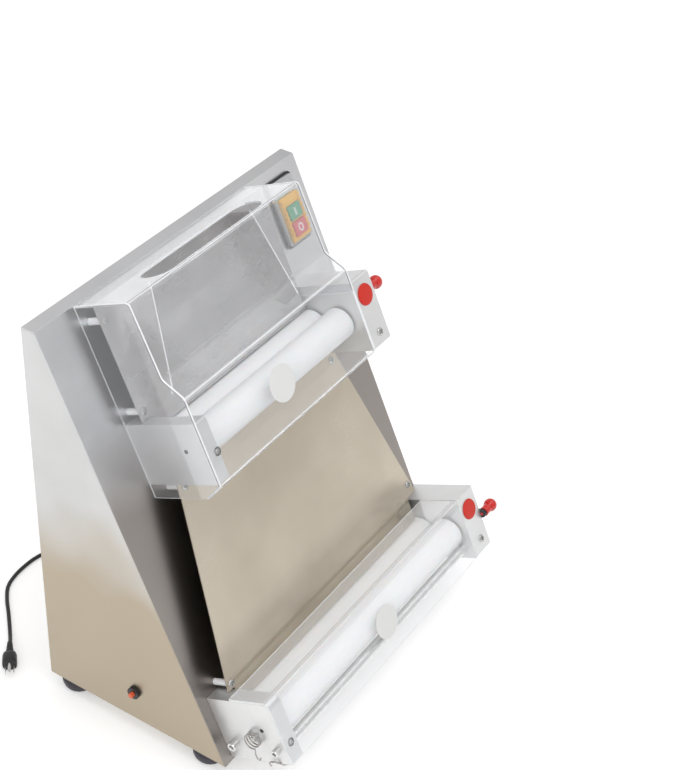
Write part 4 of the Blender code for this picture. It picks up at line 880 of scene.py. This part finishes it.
lead = bpy.data.curves.new("power_cord", "CURVE")
lead.dimensions = "3D"
lead.bevel_depth = CORD_RADIUS
lead.bevel_resolution = 4
lead.use_fill_caps = True
spline = lead.splines.new("POLY")
spline.points.add(len(line) - 1)
for point, place in zip(spline.points, line):
    point.co = (*place, 1)
spline.use_smooth = True
lead.materials.append(pvc)
power_cord = bpy.data.objects.new("power_cord", lead)
scene.collection.objects.link(power_cord)
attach(power_cord, "frame")
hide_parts("cord_rear", "cord_coil", "cord_front")

sleeve_line = smooth_route(from_gland, 0.003)[:9]
rings = []
sleeve = bmesh.new()
for i, place in enumerate(sleeve_line):
    ahead = (sleeve_line[min(i + 1, 8)] - sleeve_line[max(i - 1, 0)]).normalized()
    turn = ahead.to_track_quat("Z", "Y").to_matrix()
    for radius, shift in ((0.0062 - 0.00028 * i, -0.0008), (0.0056 - 0.00028 * i, 0.0008)):
        rings.append([sleeve.verts.new(machine + place + turn @ Vector((radius * cos(pi * k / 10),
                                                                        radius * sin(pi * k / 10), shift)))
                      for k in range(20)])
for first, second in zip(rings, rings[1:]):
    for k in range(20):
        sleeve.faces.new([first[k], first[(k + 1) % 20], second[(k + 1) % 20], second[k]])
sleeve.faces.new(rings[0])
sleeve.faces.new(rings[-1])
bmesh.ops.recalc_face_normals(sleeve, faces=sleeve.faces)
strain_relief = shaped_piece("strain_relief", sleeve, black, "frame")

heading = Vector((-0.75, -0.66, 0)).normalized()
across_plug = Vector((heading.y, -heading.x, 0))
plug_start = machine + Vector((-0.284, 0.095, 0.0115))


def plug_ring(shape, along, wide, high, steps=24):
    """One cross-section of the plug's body: a soft rectangle."""
    ring = []
    for k in range(steps):
        angle = 2 * pi * k / steps
        c, s = cos(angle), sin(angle)
        x = wide * abs(c) ** 0.75 * (1 if c > 0 else -1)
        z = high * abs(s) ** 0.75 * (1 if s > 0 else -1)
        ring.append(shape.verts.new(plug_start + heading * along + across_plug * x + Vector((0, 0, z))))
    return ring


body_shape = bmesh.new()
stations = [(-0.012, 0.0040, 0.0040), (-0.006, 0.0046, 0.0046), (0.000, 0.0052, 0.0050),
            (0.002, 0.0046, 0.0045), (0.004, 0.0058, 0.0055), (0.006, 0.0052, 0.0050),
            (0.008, 0.0066, 0.0062), (0.010, 0.0060, 0.0058), (0.013, 0.0098, 0.0090),
            (0.018, 0.0113, 0.0108), (0.030, 0.0115, 0.0112), (0.0345, 0.0113, 0.0110),
            (0.036, 0.0106, 0.0103)]
sections = [plug_ring(body_shape, *station) for station in stations]
for first, second in zip(sections, sections[1:]):
    for k in range(24):
        body_shape.faces.new([first[k], first[(k + 1) % 24], second[(k + 1) % 24], second[k]])
body_shape.faces.new(sections[0])
body_shape.faces.new(sections[-1])
bmesh.ops.recalc_face_normals(body_shape, faces=body_shape.faces)
plug_body = shaped_piece("plug_body", body_shape, pvc, "frame", 50)
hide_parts("plug")

blades = []
for side in (-1, 1):
    blade = bmesh.new()
    bmesh.ops.create_cube(blade, size=1, matrix=Matrix.Diagonal((0.0015, 0.016, 0.0063, 1)))
    bmesh.ops.bevel(blade, geom=[e for e in blade.edges], offset=0.0004, segments=1, affect="EDGES")
    place = plug_start + heading * 0.0435 + across_plug * (side * 0.00635) + Vector((0, 0, -0.002))
    axes = Matrix((across_plug, heading, Vector((0, 0, 1)))).transposed().to_4x4()
    bmesh.ops.transform(blade, matrix=Matrix.Translation(place) @ axes, verts=blade.verts)
    bmesh.ops.recalc_face_normals(blade, faces=blade.faces)
    blades.append(blade)
pin = lathe([(0, 0), (0.0024, 0), (0.0024, 0.017), (0.0014, 0.020), (0, 0.0205)],
            plug_start + heading * 0.0355 + Vector((0, 0, 0.0052)), heading, 20)
plug_pins = shaped_piece("plug_pins", together(*blades, pin), bright, "frame")

# --- Worktop and studio --------------------------------------------------------------------------
# A white sweep under soft even light: a broad overhead softbox, one from the left, a weak one from the
# right, a low strip behind, and the room.

sweep, tree, shader = finish("white_sweep", (0.80, 0.80, 0.80), 0, 0.7)
shader.inputs["Emission Color"].default_value = (1, 1, 1, 1)
path = tree.nodes.new("ShaderNodeLightPath")


def either(tree, *values):
    """1 where any of the values is 1."""
    result = values[0]
    for value in values[1:]:
        most = tree.nodes.new("ShaderNodeMath")
        most.operation = "MAXIMUM"
        tree.links.new(result, most.inputs[0])
        tree.links.new(value, most.inputs[1])
        result = most.outputs[0]
    return result


seen = either(tree, path.outputs["Is Camera Ray"], path.outputs["Is Glossy Ray"],
              path.outputs["Is Transmission Ray"])
tree.links.new(spread(tree, seen, 0, 0.38, 0, 1), shader.inputs["Emission Strength"])
floor_mesh = bpy.data.meshes.new("sweep")
floor_mesh.from_pydata([(-9, -9, 0), (9, -9, 0), (9, 9, 0), (-9, 9, 0)], [], [(0, 1, 2, 3)])
floor_mesh.materials.append(sweep)
floor = bpy.data.objects.new("sweep", floor_mesh)
scene.collection.objects.link(floor)

room = bpy.data.worlds.new("studio")
room.use_nodes = True
scene.world = room
tree = room.node_tree
lighting = tree.nodes["Background"]
lighting.inputs["Color"].default_value = (1, 1, 1, 1)
lighting.inputs["Strength"].default_value = 0.70
walls = tree.nodes.new("ShaderNodeBackground")
direction = tree.nodes.new("ShaderNodeTexCoord")
noise = tree.nodes.new("ShaderNodeTexNoise")
noise.inputs["Scale"].default_value = 1.1
noise.inputs["Detail"].default_value = 1
tree.links.new(direction.outputs["Generated"], noise.inputs["Vector"])
shade = spread(tree, noise.outputs["Fac"], 0.0, 1.0, 0.38, 0.62)
tree.links.new(blend_colours(tree, shade, (0.50, 0.50, 0.50), (0.74, 0.74, 0.74)), walls.inputs["Color"])
plain = tree.nodes.new("ShaderNodeBackground")
path = tree.nodes.new("ShaderNodeLightPath")
reflected = tree.nodes.new("ShaderNodeMixShader")
tree.links.new(path.outputs["Is Glossy Ray"], reflected.inputs[0])
tree.links.new(plain.outputs[0], reflected.inputs[1])
tree.links.new(walls.outputs[0], reflected.inputs[2])
shown = tree.nodes.new("ShaderNodeMixShader")
tree.links.new(either(tree, path.outputs["Is Camera Ray"], path.outputs["Is Glossy Ray"],
                      path.outputs["Is Transmission Ray"]), shown.inputs[0])
tree.links.new(lighting.outputs[0], shown.inputs[1])
tree.links.new(reflected.outputs[0], shown.inputs[2])
plain.inputs["Color"].default_value = (1, 1, 1, 1)
tree.links.new(shown.outputs[0], tree.nodes["World Output"].inputs["Surface"])

for name, place, wide, tall, power in (("overhead_softbox", (-0.4, -0.8, 3.2), 2.4, 2.4, 30),
                                       ("left_softbox", (-3.2, -1.2, 1.9), 1.8, 1.8, 23),
                                       ("right_softbox", (2.2, -0.3, 3.0), 2.0, 2.0, 8),
                                       ("rear_strip", (2.5, 2.9, 0.42), 3.0, 0.66, 4)):
    lamp = bpy.data.lights.new(name, "AREA")
    lamp.shape = "RECTANGLE"
    lamp.size = wide
    lamp.size_y = tall
    lamp.energy = power
    holder = bpy.data.objects.new(name, lamp)
    holder.location = place
    holder.rotation_euler = (Vector((0, 0, 0.35)) - Vector(place)).to_track_quat("-Z", "Y").to_euler()
    scene.collection.objects.link(holder)

scene.view_settings.view_transform = "Standard"
